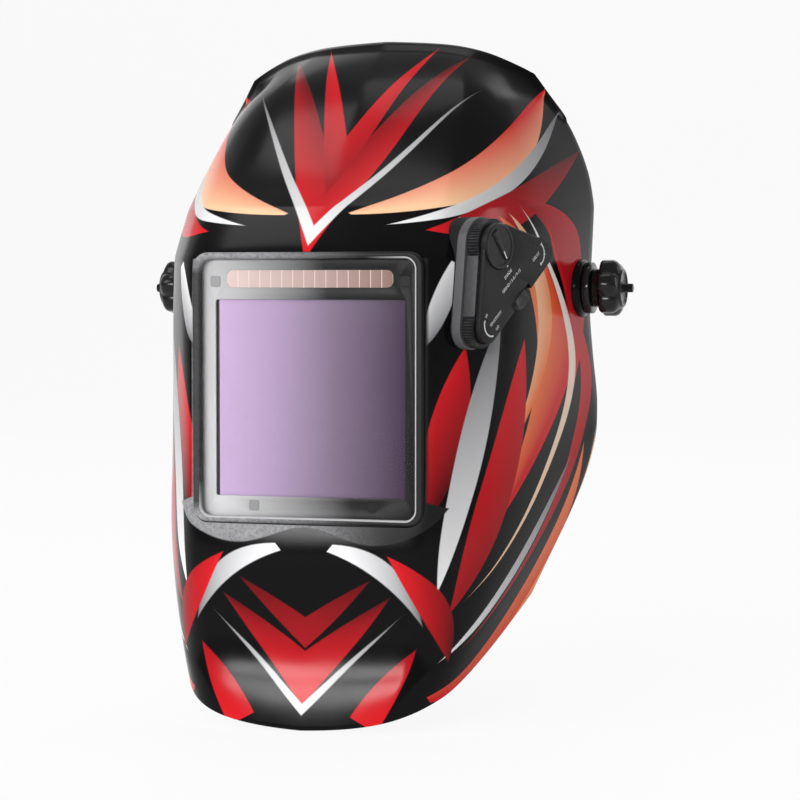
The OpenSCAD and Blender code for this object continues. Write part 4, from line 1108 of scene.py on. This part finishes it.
class HELMET_OT_cartridge(bpy.types.Operator):
    """Dresses the filter cartridge, its holder and what is in them"""

    bl_idname = "helmet.cartridge"
    bl_label = "Filter cartridge"

    def execute(self, context):
        refined("filter_holder", "cartridge_holder", 0.35, "shell", "matte_black", black_plastic())
        refined("filter_front_case", "cartridge_face", 0.3, "shell", "filter_grey", filter_face("cartridge_silver"))
        refined("filter_back_case", "cartridge_back", 0.3, "shell", "matte_black", black_plastic())
        dressed("filter_glass", filter_glass("coated_violet"))
        dressed("shutter_stack", filter_glass("coated_violet"))
        dressed("solar_panel", solar_cells("solar_cells"))
        dressed("light_sensors", filter_face("sensor_window", 0.62))
        dressed("filter_board", circuit_board("green_board"))
        dressed("coin_cells", steel("cell_steel", (0.72, 0.72, 0.74), 0.24))
        for word, _ in SIDES:
            refined(f"battery_cap_{word}", f"cell_cap_{word}", 0.18, f"battery_cap_{word}", "matte_black",
                    plastic("cap_grey", grey(0.035, 0.002), 0.44, 1300.0, 0.02, 0.5))
        dressed("filter_bail", steel("spring_wire", (0.74, 0.75, 0.77), 0.16))
        refined("test_button", "test_button_cap", 0.4, "test_button", "button_red",
                plastic("button_red", (0.42, 0.012, 0.012), 0.3, 900.0, 0.01, 0.3, 0.3), 3)
        return {"FINISHED"}


# ---------------------------------------------------------------- control unit
class HELMET_OT_control_unit(bpy.types.Operator):
    """Builds the control unit's case, cover, marks and slider"""

    bl_idname = "helmet.control_unit"
    bl_label = "Control unit"

    def execute(self, context):
        refined("control_base", "unit_base", 0.45, "shell", "control_satin", skirt_plastic("control_skirt"), 3)
        refined("control_housing", "unit_body", 0.5, "shell", "control_satin",
                plastic("control_satin", grey(0.040, 0.002), 0.38, 1500.0, 0.02, 0.5), 3)
        refined("control_cover", "unit_cover", 0.7, "shell", "control_satin",
                plastic("cover_satin", grey(0.004, 0.0005), 0.48, 1500.0, 0.012, 0.35), 3)
        refined("control_back_plate", "unit_back_plate", 0.5, "shell", "matte_black", black_plastic())
        dressed("control_board", circuit_board("green_board"))
        dressed("control_pots", zinc())
        dressed("control_screws", zinc())
        self.marks()
        self.slider()
        return {"FINISHED"}

    def raised(self, outline):
        """Thin printed shape on the cover."""
        return slab("mark", outline, COVER_TOP - 0.2, COVER_TOP + MARK_H)

    def arc(self, centre, radius, start, end, width):
        """Thin raised band along an arc, in the unit's frame."""
        steps = max(4, int(abs(end - start) / 5))
        turns = [math.radians(start + (end - start) * n / steps) for n in range(steps + 1)]
        return self.raised([on_circle(centre, radius + width / 2, a) for a in turns] +
                           [on_circle(centre, radius - width / 2, a) for a in reversed(turns)])

    def label(self, words, size, place, degrees=SLIDER_ANGLE):
        """Printed words as a thin mesh, centred on a place of the cover."""
        deselect_all()
        bpy.ops.object.text_add()
        text = bpy.context.active_object
        text.data.body, text.data.size, text.data.extrude = words, size * MM, MARK_H / 2 * MM
        text.data.align_x, text.data.align_y, text.data.resolution_u = "CENTER", "CENTER", 3
        bpy.ops.object.convert(target="MESH")
        return placed(text, shift(*place, COVER_TOP + MARK_H / 2) @ rotation(degrees))

    def marks(self):
        """Printed scales and plain words: which wheel does what, and where its ends are."""
        parts = [self.arc(*SENSE_SCALE, 158, 288, 0.75), self.arc(*DELAY_SCALE, -66, 62, 0.65),
                 self.label("SHADE", 2.3, (-7.6, 6.6)), self.label("GRIND / 5-8 / 9-13", 2.3, (-4.8, 3.3)),
                 self.label("DELAY", 2.2, (15.6, 15.2)), self.label("SENSITIVITY", 2.1, (-17.6, -14.6)),
                 self.label("HI", 2.1, (-25.0, -13.2), 60), self.label("LO", 2.1, (-16.2, -18.8)),
                 self.raised([(-8.6, 9.7), (-7.4, 10.6), (-8.5, 11.1)])]
        parts += [self.arc(*DELAY_SCALE, turn, turn + 6, 1.5) for turn in (-64, -4, 56)]
        marks = soften(recalculate(placed(joined("unit_marks", *parts), UNIT)), 30)
        finished(marks, "shell", "nylon_white", white_print())

    def slider(self):
        """Grip block with rounded top ends and fine ribs across its top."""
        high = 10.5 * MM
        grip = block("grip", (9, 6, 7), (0, 0, 7))
        with editing(grip, "EDGE") as pick:
            pick(lambda e: all(abs(v.co.z - high) < 1e-5 for v in e.verts)
                 and abs(e.verts[0].co.y - e.verts[1].co.y) > MM)
            bpy.ops.mesh.bevel(offset=1.0 * MM, segments=4)
        ribs = [round_edges(block("rib", (0.55, 5.4, 0.9), (n * 1.05, 0, 10.7)), 0.16, 2, 40) for n in range(-3, 4)]
        slider = joined("slide_switch", round_edges(grip, 0.2, 2, 40), *ribs)
        soften(placed(slider, on_unit(SLIDER_AT, SLIDER_ANGLE)))
        finished(slider, "mode_slider", "wheel_satin",
                 plastic("slider_grey", grey(0.05, 0.002), 0.4, 1500.0, 0.02, 0.6), stands_for=("mode_slider",))


class HELMET_OT_wheels(bpy.types.Operator):
    """Builds the three ribbed control wheels and the shade dial with its pointer"""

    bl_idname = "helmet.wheels"
    bl_label = "Control wheels"

    def execute(self, context):
        surface = plastic("wheel_satin", grey(0.008, 0.001), 0.36, 1400.0, 0.02, 0.9)
        dish = [(11.0, WHEEL_TOP), (11.0, COVER_TOP + 0.5), (10.5, COVER_TOP + 1.0), (9.4, COVER_TOP + 1.0),
                (9.0, COVER_TOP + 0.6), (1.0, COVER_TOP + 0.6)]
        shade = joined("shade_dial", self.ribbed("shade_wheel", 13.2, sizes().wheel_ribs, dish), self.pointer())
        placed(shade, on_unit(UNIT_SHADE))
        finished(shade, "shade_knob", "wheel_satin", surface, stands_for=("shade_knob",))
        line = round_edges(block("dial_line", (4.2, 0.7, 0.16), (5.2, 0, COVER_TOP + 1.62)), 0.05, 1, 40)
        placed(line, on_unit(UNIT_SHADE, POINTER_ANGLE))
        finished(line, "shade_knob", "nylon_white", white_print())
        for name, node, centre, radius, ribs in (("sensitivity_wheel", "sensitivity_knob", UNIT_SENSE, 9.2, 40),
                                                 ("delay_wheel", "delay_knob", UNIT_DELAY, 7.8, 34)):
            hollow = [(radius - 2.0, WHEEL_TOP), (radius - 2.4, WHEEL_TOP - 0.4), (1.0, WHEEL_TOP - 0.4)]
            small = placed(self.ribbed(name, radius, ribs, hollow), on_unit(centre))
            finished(small, node, "wheel_satin", surface, stands_for=(node,))
        return {"FINISHED"}

    def ribbed(self, name, radius, ribs, top):
        """Wheel with squared grip ribs: every other pair of its rim's points is drawn in."""
        rings = [(radius - 0.45, WHEEL_BOTTOM), (radius, WHEEL_BOTTOM + 0.45), (radius, WHEEL_TOP - 0.45),
                 (radius - 0.45, WHEEL_TOP)] + top
        points = ribs * 4
        wheel = turned(name, rings, points)
        with editing(wheel, "VERT") as pick:
            pick(lambda v: math.hypot(v.co.x, v.co.y) > (radius - 1.2) * MM
                 and round(math.atan2(v.co.y, v.co.x) / (2 * math.pi) * points) % 4 in (0, 1))
            ratio = (radius - 0.62) / radius
            bpy.ops.transform.resize(value=(ratio, ratio, 1), center_override=(0, 0, 0))
        return soften(wheel, 30)

    def pointer(self):
        """Raised grip across the dial that narrows to an arrow's tip."""
        bar = block("pointer", (17.0, 5.0, 1.6), (0, 0, COVER_TOP + 0.8))
        with editing(bar, "EDGE") as pick:
            pick(lambda e: all(v.co.x > 8 * MM for v in e.verts) and abs(e.verts[0].co.y - e.verts[1].co.y) > 1e-4)
            bpy.ops.transform.resize(value=(1, 0.16, 1))
            bpy.ops.mesh.select_all(action="DESELECT")
            pick(lambda e: all(v.co.z > (COVER_TOP + 1.5) * MM for v in e.verts))
            bpy.ops.transform.resize(value=(0.95, 0.72, 1), center_override=(0, 0, 0))
        return placed(round_edges(bar, 0.35, 3, 30), rotation(POINTER_ANGLE))


# ---------------------------------------------------------------- side pivots
def reshaped(obj, ratio_at):
    """Scales each point's distance from the Z axis; ratio_at takes its radius in millimetres and its turn."""
    for vertex in obj.data.vertices:
        radius, turn = math.hypot(vertex.co.x, vertex.co.y) / MM, math.atan2(vertex.co.y, vertex.co.x)
        ratio = ratio_at(radius, turn)
        vertex.co.x *= ratio
        vertex.co.y *= ratio


class HELMET_OT_pivots(bpy.types.Operator):
    """Dresses the side pivots: bushes, bolts, washers, carriages and tilt stops"""

    bl_idname = "helmet.pivots"
    bl_label = "Pivots"

    def execute(self, context):
        bush = plastic("bush_nylon", grey(0.012, 0.001), 0.38, 900.0, 0.01, 0.3)
        bolt = steel("threaded_black", grey(0.045, 0.003), 0.30, 0.5)
        for word, _ in SIDES:
            refined(f"pivot_bush_{word}", f"bush_{word}", 0.3, "shell", "nylon_white", bush)
            refined(f"pivot_bolt_{word}", f"bolt_{word}", 0.35, "reach", "zinc_steel", bolt)
            refined(f"friction_washer_{word}", f"friction_ring_{word}", 0.4, "reach", "rubber_black", rubber())
            refined(f"carriage_{word}", f"pivot_carriage_{word}", 0.5, "reach", "strap_nylon", nylon())
            refined(f"tilt_stop_{word}", f"stop_ring_{word}", 0.3, "reach", "strap_nylon", nylon())
            refined(f"knob_washer_{word}", f"knob_ring_{word}", 0.5, "reach", "knob_gloss", gloss_black(), 3)
        dressed("stop_pins", zinc())
        return {"FINISHED"}


class HELMET_OT_tension_knobs(bpy.types.Operator):
    """Builds the two lobed tension knobs"""

    bl_idname = "helmet.tension_knobs"
    bl_label = "Tension knobs"

    def execute(self, context):
        lobes, neck, depth = sizes().knob_lobes, 10.3, 2.5

        def lobe(radius, turn):
            """The rim is drawn in between the lobes."""
            if radius < neck:
                return 1
            wave = 0.5 + 0.5 * math.cos((turn + math.radians(100)) * lobes)
            return (radius - depth * (1 - wave ** 0.55) * min(1, (radius - neck) / 3.0)) / radius

        rings = [(9.6, 0.1), (10, 0.6), (10, 3.6), (14.0, 4.4), (15.0, 5.4), (15.0, 10.9), (14.2, 12.6), (12.4, 14.0),
                 (10.4, 14.6), (9.6, 15.8), (8.6, 15.8), (7.8, 14.9), (3.4, 14.7), (3.0, 15.3), (2.45, 15.3)]
        knob = turned("tension_grip", rings, lobes * 28)
        reshaped(knob, lobe)
        # The stud's bore: the last ring is carried back down through the grip
        with editing(knob) as pick:
            pick(lambda f: f.calc_center_median().z > 15.29 * MM and len(f.verts) > 8)
            extrude(-6)
        round_edges(knob, 0.25, 2, 28)
        for word, side in SIDES:
            piece = soften(copied(knob, f"tension_grip_{word}", at_side(side, KNOB_X)), 32)
            finished(piece, f"tension_knob_{word}", "knob_gloss", gloss_black(), stands_for=(f"tension_knob_{word}",))
        bpy.data.objects.remove(knob)
        return {"FINISHED"}


# ---------------------------------------------------------------- headgear
BAND_HALF_W, BAND_HALF_L, BAND_T, BAND_H = 80, 98, 1.8, 34
BAND_Y, BAND_Z, BAND_TILT, NAPE_POWER, BAND_END = 12, -6, 22, 0.7, 122
STRAP_T, STRAP_W, STRAP_H, CROWN_LOW = 1.6, 20, 80, 4
LONG_T = STRAP_H + 2 * STRAP_T + 0.9
NAPE_Z, COVER_Y = -28, 107


def signed_power(x, power):
    return math.copysign(abs(x) ** power, x)


def oval(degrees, off, height):
    """Point on the headband's oval, off outwards and height above the band's middle line."""
    a = math.radians(degrees)
    power = NAPE_POWER if abs(degrees) > 90 else 1
    return Vector(((BAND_HALF_W + off) * signed_power(math.sin(a), power),
                   BAND_Y - (BAND_HALF_L + off) * signed_power(math.cos(a), power),
                   BAND_Z + BAND_TILT * math.cos(a) + height)) * MM


def band_half(degrees):
    """Half the band's height, which is least at its rear."""
    return BAND_H / 2 - 5 + 5 * max(math.cos(math.radians(degrees)), 0) ** 2


def slots(first, last, pitch):
    """Row of adjusting holes along the middle of a strap, between two of its columns."""
    return lambda column, row: row in (2, 3) and column % pitch in (1, 2) and first < column < last


def strap(name, columns, rows, thickness, at, holes):
    """Strip along a path: a grid whose points go to at(share along, place across), with holes left out."""
    deselect_all()
    bpy.ops.mesh.primitive_grid_add(x_subdivisions=columns, y_subdivisions=rows, size=2)
    obj = made(name)
    with editing(obj) as pick:
        pick(lambda f: holes(int((f.calc_center_median().x + 1) / 2 * columns),
                             int((f.calc_center_median().y + 1) / 2 * rows)))
        bpy.ops.mesh.delete(type="FACE")
    for vertex in obj.data.vertices:
        vertex.co = at((vertex.co.x + 1) / 2, vertex.co.y)
    modify(obj, "SOLIDIFY", thickness=thickness * MM, offset=1, use_even_offset=True)
    bevel(recalculate(obj), 0.35, 2, 40)
    return soften(obj, 40)


def nylon_piece(piece, *nodes):
    """Finishes a nylon piece of the headgear."""
    finished(piece, "headgear", "strap_nylon", nylon(), stands_for=nodes)


class HELMET_OT_headband(bpy.types.Operator):
    """Builds the headband, its rear straps and the side arms"""

    bl_idname = "helmet.headband"
    bl_label = "Headband"

    def execute(self, context):
        def band(share, across):
            a = (2 * share - 1) * BAND_END
            return oval(a, 0, across * band_half(a))

        def vents(column, row):
            front = 34 <= column <= 85 and row in (2, 5) and column % 6 in (0, 1, 2)
            side = (column < 26 or column > 93) and row in (3, 4) and column % 4 == 1
            return front or side

        def rear(side):
            def at(share, across):
                a = 104 + 64 * share
                return oval(side * a, BAND_T + 0.4, across * (band_half(a) - 3))

            return strap("rear_strap", 48, 6, STRAP_T, at, slots(8, 42, 4))

        nylon_piece(strap("head_band", 120, 8, BAND_T, band, vents), "headband")
        nylon_piece(joined("rear_straps_pair", rear(1), rear(-1)), "rear_straps")
        for word, _ in SIDES:
            refined(f"side_arm_{word}", f"arm_plate_{word}", 0.6, "headgear", "strap_nylon", nylon(), 3)
        return {"FINISHED"}


class HELMET_OT_crown_straps(bpy.types.Operator):
    """Builds the straps over the head and the peg that holds them"""

    bl_idname = "helmet.crown_straps"
    bl_label = "Crown straps"

    def execute(self, context):
        def over(start, end, off):
            """Path from side to side; off lifts the upper strap over the lower one at the top."""
            def at(share, across):
                a = math.radians(start + (end - start) * share)
                lift = off * min(1, max(0, (math.cos(a) - 0.3) / 0.4))
                w, h = BAND_HALF_W - STRAP_T - 0.8 + lift, STRAP_H - CROWN_LOW + lift
                return Vector((w * math.sin(a), BAND_Y + across * STRAP_W / 2, CROWN_LOW + h * math.cos(a))) * MM

            return at

        def along(share, across):
            """Path from the brow over the top to the nape."""
            degrees = -95 + 190 * share
            a = math.radians(degrees)
            reach, low = (BAND_HALF_L + BAND_T + 0.9, 26) if degrees < 0 else (BAND_HALF_L - 0.2, -12)
            return Vector((across * STRAP_W / 2, BAND_Y + reach * math.sin(a), low + (LONG_T - low) * math.cos(a))) * MM

        for word, path, holes in (("left", over(-18, 98, 0), slots(0, 34, 4)),
                                  ("right", over(-98, 18, STRAP_T + 0.2), slots(62, 96, 4))):
            nylon_piece(strap(f"crown_band_{word}", 96, 6, STRAP_T, path, holes), f"crown_strap_{word}")
        nylon_piece(strap("crown_band_long", 140, 6, STRAP_T, along, slots(12, 60, 5)), "crown_strap_long")
        refined("crown_peg", "crown_stud", 0.5, "headgear", "matte_black", black_plastic(), 3)
        return {"FINISHED"}


class HELMET_OT_pads(bpy.types.Operator):
    """Builds the forehead's sweatband and the pad at the nape"""

    bl_idname = "helmet.pads"
    bl_label = "Pads"

    def execute(self, context):
        def channel(off, half_width):
            """Depth of a sewn channel at a distance from its middle."""
            return 0.9 * MM * math.exp(-(off / half_width) ** 2)

        def across_band(co):
            turn = math.degrees(math.atan2(co.x / (BAND_HALF_W * MM), -(co.y - BAND_Y * MM) / (BAND_HALF_L * MM)))
            return channel(6 - abs((turn + 90) % 12 - 6), 0.9)

        def ring(co):
            return channel(max(abs(co.x / MM) - 24, abs(co.z / MM - NAPE_Z) - 6), 1.2)

        cloth = fabric("terry_cloth", grey(0.115, 0.01), 2300.0)
        band = self.filled("sweat_pad", "sweatband", across_band)
        finished(band, "headgear", "sweat_fabric", cloth, stands_for=("sweatband",))
        nape = self.filled("nape_pad", "rear_pad", ring)
        finished(nape, "headgear", "sweat_fabric", cloth, stands_for=("rear_pad",))
        return {"FINISHED"}

    def filled(self, name, node, seams):
        """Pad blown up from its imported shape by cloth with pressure, then sewn with shallow channels."""
        pad = copied(NODES[node], name)
        with editing(pad, everything=True):
            bpy.ops.mesh.customdata_custom_splitnormals_clear()
            bpy.ops.mesh.remove_doubles(threshold=WELD_TRIANGLES)
            bpy.ops.mesh.normals_make_consistent(inside=False)
            bpy.ops.transform.shrink_fatten(value=-0.7 * MM)
        modify(pad, "REMESH", mode="VOXEL", voxel_size=2.2 * MM)
        rest = [v.co.copy() for v in pad.data.vertices]
        self.blow_up(pad, 20)
        most = sizes().pad_swell
        for vertex, old in zip(pad.data.vertices, rest):
            move = vertex.co - old
            if move.length > most:
                vertex.co = old + move.normalized() * most
        modify(pad, "SUBSURF", levels=1, render_levels=1)
        modify(pad, "SMOOTH", factor=0.5, iterations=3)
        for vertex in pad.data.vertices:
            vertex.co -= vertex.normal * seams(vertex.co)
        take(pad)
        bpy.ops.object.shade_smooth()
        return pad

    def blow_up(self, pad, frames):
        take(pad)
        cloth = pad.modifiers.new("cloth", "CLOTH")
        cloth.settings.use_pressure = True
        cloth.settings.uniform_pressure_force = 4.0
        cloth.settings.effector_weights.gravity = 0.0
        cloth.settings.quality = 4
        cloth.point_cache.frame_start, cloth.point_cache.frame_end = 1, frames
        for number in range(1, frames + 1):
            bpy.context.scene.frame_set(number)
        bpy.ops.object.modifier_apply(modifier=cloth.name)
        bpy.context.scene.frame_set(1)


class HELMET_OT_ratchet(bpy.types.Operator):
    """Dresses the ratchet at the nape: case, cover, racks and the fluted knob"""

    bl_idname = "helmet.ratchet"
    bl_label = "Ratchet"

    def execute(self, context):
        refined("ratchet_housing", "ratchet_case", 0.9, "headgear", "matte_black", black_plastic(), 3)
        refined("ratchet_cover", "ratchet_inner_cover", 0.6, "headgear", "matte_black", black_plastic())
        self.knob()
        for word, _ in SIDES:
            refined(f"rack_{word}", f"toothed_rack_{word}", 0.15, f"rack_{word}", "strap_nylon", nylon())
        return {"FINISHED"}

    def knob(self):
        """Fluted grip with rounded rims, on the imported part's own shaft and pinion."""
        under, flutes, groove, groove_at, inner = COVER_Y + 14.5, 12, 3, 23.4, 20.3
        core = recalculate(copied(NODES["ratchet_knob"], "pinion_shaft"))
        with editing(core):
            bpy.ops.mesh.customdata_custom_splitnormals_clear()
        cut = block("shaft_cut", (60, 20, 60), (0, under + 9.8, NAPE_Z))
        modify(core, "BOOLEAN", operation="DIFFERENCE", solver="EXACT", object=cut)
        bpy.data.objects.remove(cut)

        def flute(radius, turn):
            """Each flute is a round groove whose middle lies past the rim."""
            step = 2 * math.pi / flutes
            turn = (turn + step / 2) % step - step / 2
            within = groove ** 2 - (groove_at * math.sin(turn)) ** 2
            if radius < inner or within <= 0:
                return 1
            return min(1, (groove_at * math.cos(turn) - math.sqrt(within)) / radius)

        rings = [(3.9, -0.4), (3.9, 0), (20.6, 0), (21.5, 0.3), (22, 1.0), (22, 9.0), (21.6, 9.7), (20.8, 10.0),
                 (18.3, 10.0), (18.0, 10.3), (18.0, 12.1), (17.7, 12.7), (17.0, 13.0), (2.0, 13.0)]
        grip = turned("grip", rings, flutes * 20)
        reshaped(grip, flute)
        placed(grip, shift(0, under, NAPE_Z) @ rotation(-90, "X"))
        finished(soften(joined("ratchet_grip", grip, core)), "ratchet_knob", "matte_black",
                 plastic("ratchet_black", grey(0.020, 0.001), 0.40, 1300.0, 0.02, 0.6), stands_for=("ratchet_knob",))


# ---------------------------------------------------------------- stage
CAMERA_AT = (0.39125, -1.25919, 0.000672)
FLOOR_SIZE, WALL_Y, WALL_H = 7, 3.4, 4


@look
def floor_paint(place):
    return {"Base Color": mixed(noise(place, 3.0, 2.0), grey(0.86), grey(0.90)), "Roughness": 0.7}


class HELMET_OT_stage(bpy.types.Operator):
    """Sets the camera, the lamps, the floor and the backdrop"""

    bl_idname = "helmet.stage"
    bl_label = "Stage"

    def execute(self, context):
        stage = context.scene.helmet_stage
        a, e = stage.azimuth, stage.elevation
        ahead = Vector((-math.sin(a) * math.cos(e), math.cos(a) * math.cos(e), -math.sin(e)))
        right = Vector((math.cos(a), math.sin(a), 0))
        turn = Matrix((right, right.cross(ahead), -ahead)).transposed().to_4x4()
        camera = bpy.data.objects.new("camera", bpy.data.cameras.new("camera"))
        context.scene.collection.objects.link(camera)
        camera.data.lens, camera.data.sensor_width = stage.lens, 36
        camera.data.clip_start, camera.data.clip_end = 0.05, 30
        camera.matrix_world = Matrix.Translation(CAMERA_AT) @ turn
        context.scene.camera = camera
        self.lamp("key", (-1.25, -1.25, 1.05), (0.02, -0.05, -0.04), 0.7, 0.9, stage.key_power)
        self.lamp("strip", (1.50, 0.62, 0.50), (0.08, 0, 0.05), 0.10, 1.1, stage.strip_power)
        self.lamp("chin", (-0.45, -2.0, 0.31), (0, -0.1, -0.15), 1.3, 0.27, stage.fill_power)
        self.lamp("brow", (-0.66, -0.06, 1.5), (0, -0.12, 0.04), 0.55, 0.34, stage.top_power * 0.6)
        self.lamp("crown", (-0.13, 0.34, 1.5), (0, 0, 0.1), 0.6, 0.4, stage.top_power * 0.4)
        self.lamp("rear", (-0.2, 1.9, 1.7), (0, 0, -0.05), 2.4, 1.4, stage.rear_power)
        self.ground()
        self.sky()
        return {"FINISHED"}

    def lamp(self, name, place, aim, width, height, power):
        light = bpy.data.lights.new(name, "AREA")
        light.shape, light.size, light.size_y, light.energy = "RECTANGLE", width, height, power
        obj = bpy.data.objects.new(name, light)
        bpy.context.scene.collection.objects.link(obj)
        obj.location = place
        obj.rotation_euler = (Vector(aim) - Vector(place)).to_track_quat("-Z", "Y").to_euler()

    def ground(self):
        """One sheet: floor under the helmet that curves up into the backdrop."""
        deselect_all()
        bpy.ops.mesh.primitive_plane_add(size=FLOOR_SIZE, location=(0, 0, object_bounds()[0].z - 0.0006))
        floor = placed(made("floor"))
        with editing(floor, "EDGE") as pick:
            pick(lambda e: all(v.co.y > WALL_Y for v in e.verts))
            extrude(WALL_H / MM)
            bpy.ops.mesh.select_all(action="DESELECT")
            pick(lambda e: all(v.co.y > WALL_Y and v.co.z < 0 for v in e.verts))
            bpy.ops.mesh.bevel(offset=1.0, segments=12)
        soften(floor, 40)
        material = floor_paint("studio_floor")
        tree = material.node_tree
        rays = add(tree, "LightPath").outputs
        seen = Value(rays["Is Camera Ray"]) + Value(rays["Is Glossy Ray"]) + Value(rays["Is Transmission Ray"])
        shader = next(n for n in tree.nodes if n.type == "BSDF_PRINCIPLED")
        glow = add(tree, "Emission", {"Color": (1, 1, 1, 1), "Strength": 1.0})
        blend = add(tree, "MixShader", [clamped(seen) * 0.9, Value(shader.outputs[0]), Value(glow.outputs[0])])
        tree.links.new(blend.outputs[0], tree.nodes["Material Output"].inputs[0])
        floor.data.materials.append(material)
        floor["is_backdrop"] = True

    def sky(self):
        """Plain pale surroundings, the same in every direction."""
        world = bpy.data.worlds.new("studio")
        bpy.context.scene.world = world
        world.use_nodes = True
        back = next(n for n in world.node_tree.nodes if n.type == "BACKGROUND")
        back.inputs["Color"].default_value, back.inputs["Strength"].default_value = (1, 1, 1, 1), 0.40


STEPS = ["stage", "shell", "window", "cartridge", "control_unit", "wheels", "pivots", "tension_knobs", "headband",
         "crown_straps", "pads", "ratchet"]


class HELMET_PT_build(bpy.types.Panel):
    """Sidebar panel with one button for each group of pieces"""

    bl_idname = "HELMET_PT_build"
    bl_label = "Welding Helmet"
    bl_space_type = "VIEW_3D"
    bl_region_type = "UI"
    bl_category = "Helmet"

    def draw(self, context):
        for step in STEPS:
            self.layout.operator(f"helmet.{step}")
        for group in (context.scene.helmet_sizes, context.scene.helmet_colours, context.scene.helmet_stage):
            box = self.layout.box()
            for name in group.bl_rna.properties.keys():
                if name not in ("rna_type", "name"):
                    box.prop(group, name)


CLASSES = [HELMET_PG_sizes, HELMET_PG_colours, HELMET_PG_stage, HELMET_OT_stage, HELMET_OT_shell, HELMET_OT_window,
           HELMET_OT_cartridge, HELMET_OT_control_unit, HELMET_OT_wheels, HELMET_OT_pivots, HELMET_OT_tension_knobs,
           HELMET_OT_headband, HELMET_OT_crown_straps, HELMET_OT_pads, HELMET_OT_ratchet, HELMET_PT_build]


def register():
    for cls in CLASSES:
        bpy.utils.register_class(cls)
    bpy.types.Scene.helmet_sizes = PointerProperty(type=HELMET_PG_sizes)
    bpy.types.Scene.helmet_colours = PointerProperty(type=HELMET_PG_colours)
    bpy.types.Scene.helmet_stage = PointerProperty(type=HELMET_PG_stage)


def unregister():
    for name in ("helmet_sizes", "helmet_colours", "helmet_stage"):
        delattr(bpy.types.Scene, name)
    for cls in reversed(CLASSES):
        bpy.utils.unregister_class(cls)


def main():
    register()
    bpy.context.scene.view_settings.view_transform = "Standard"
    for step in STEPS:
        getattr(bpy.ops.helmet, step)()


if __name__ == "__main__":
    main()
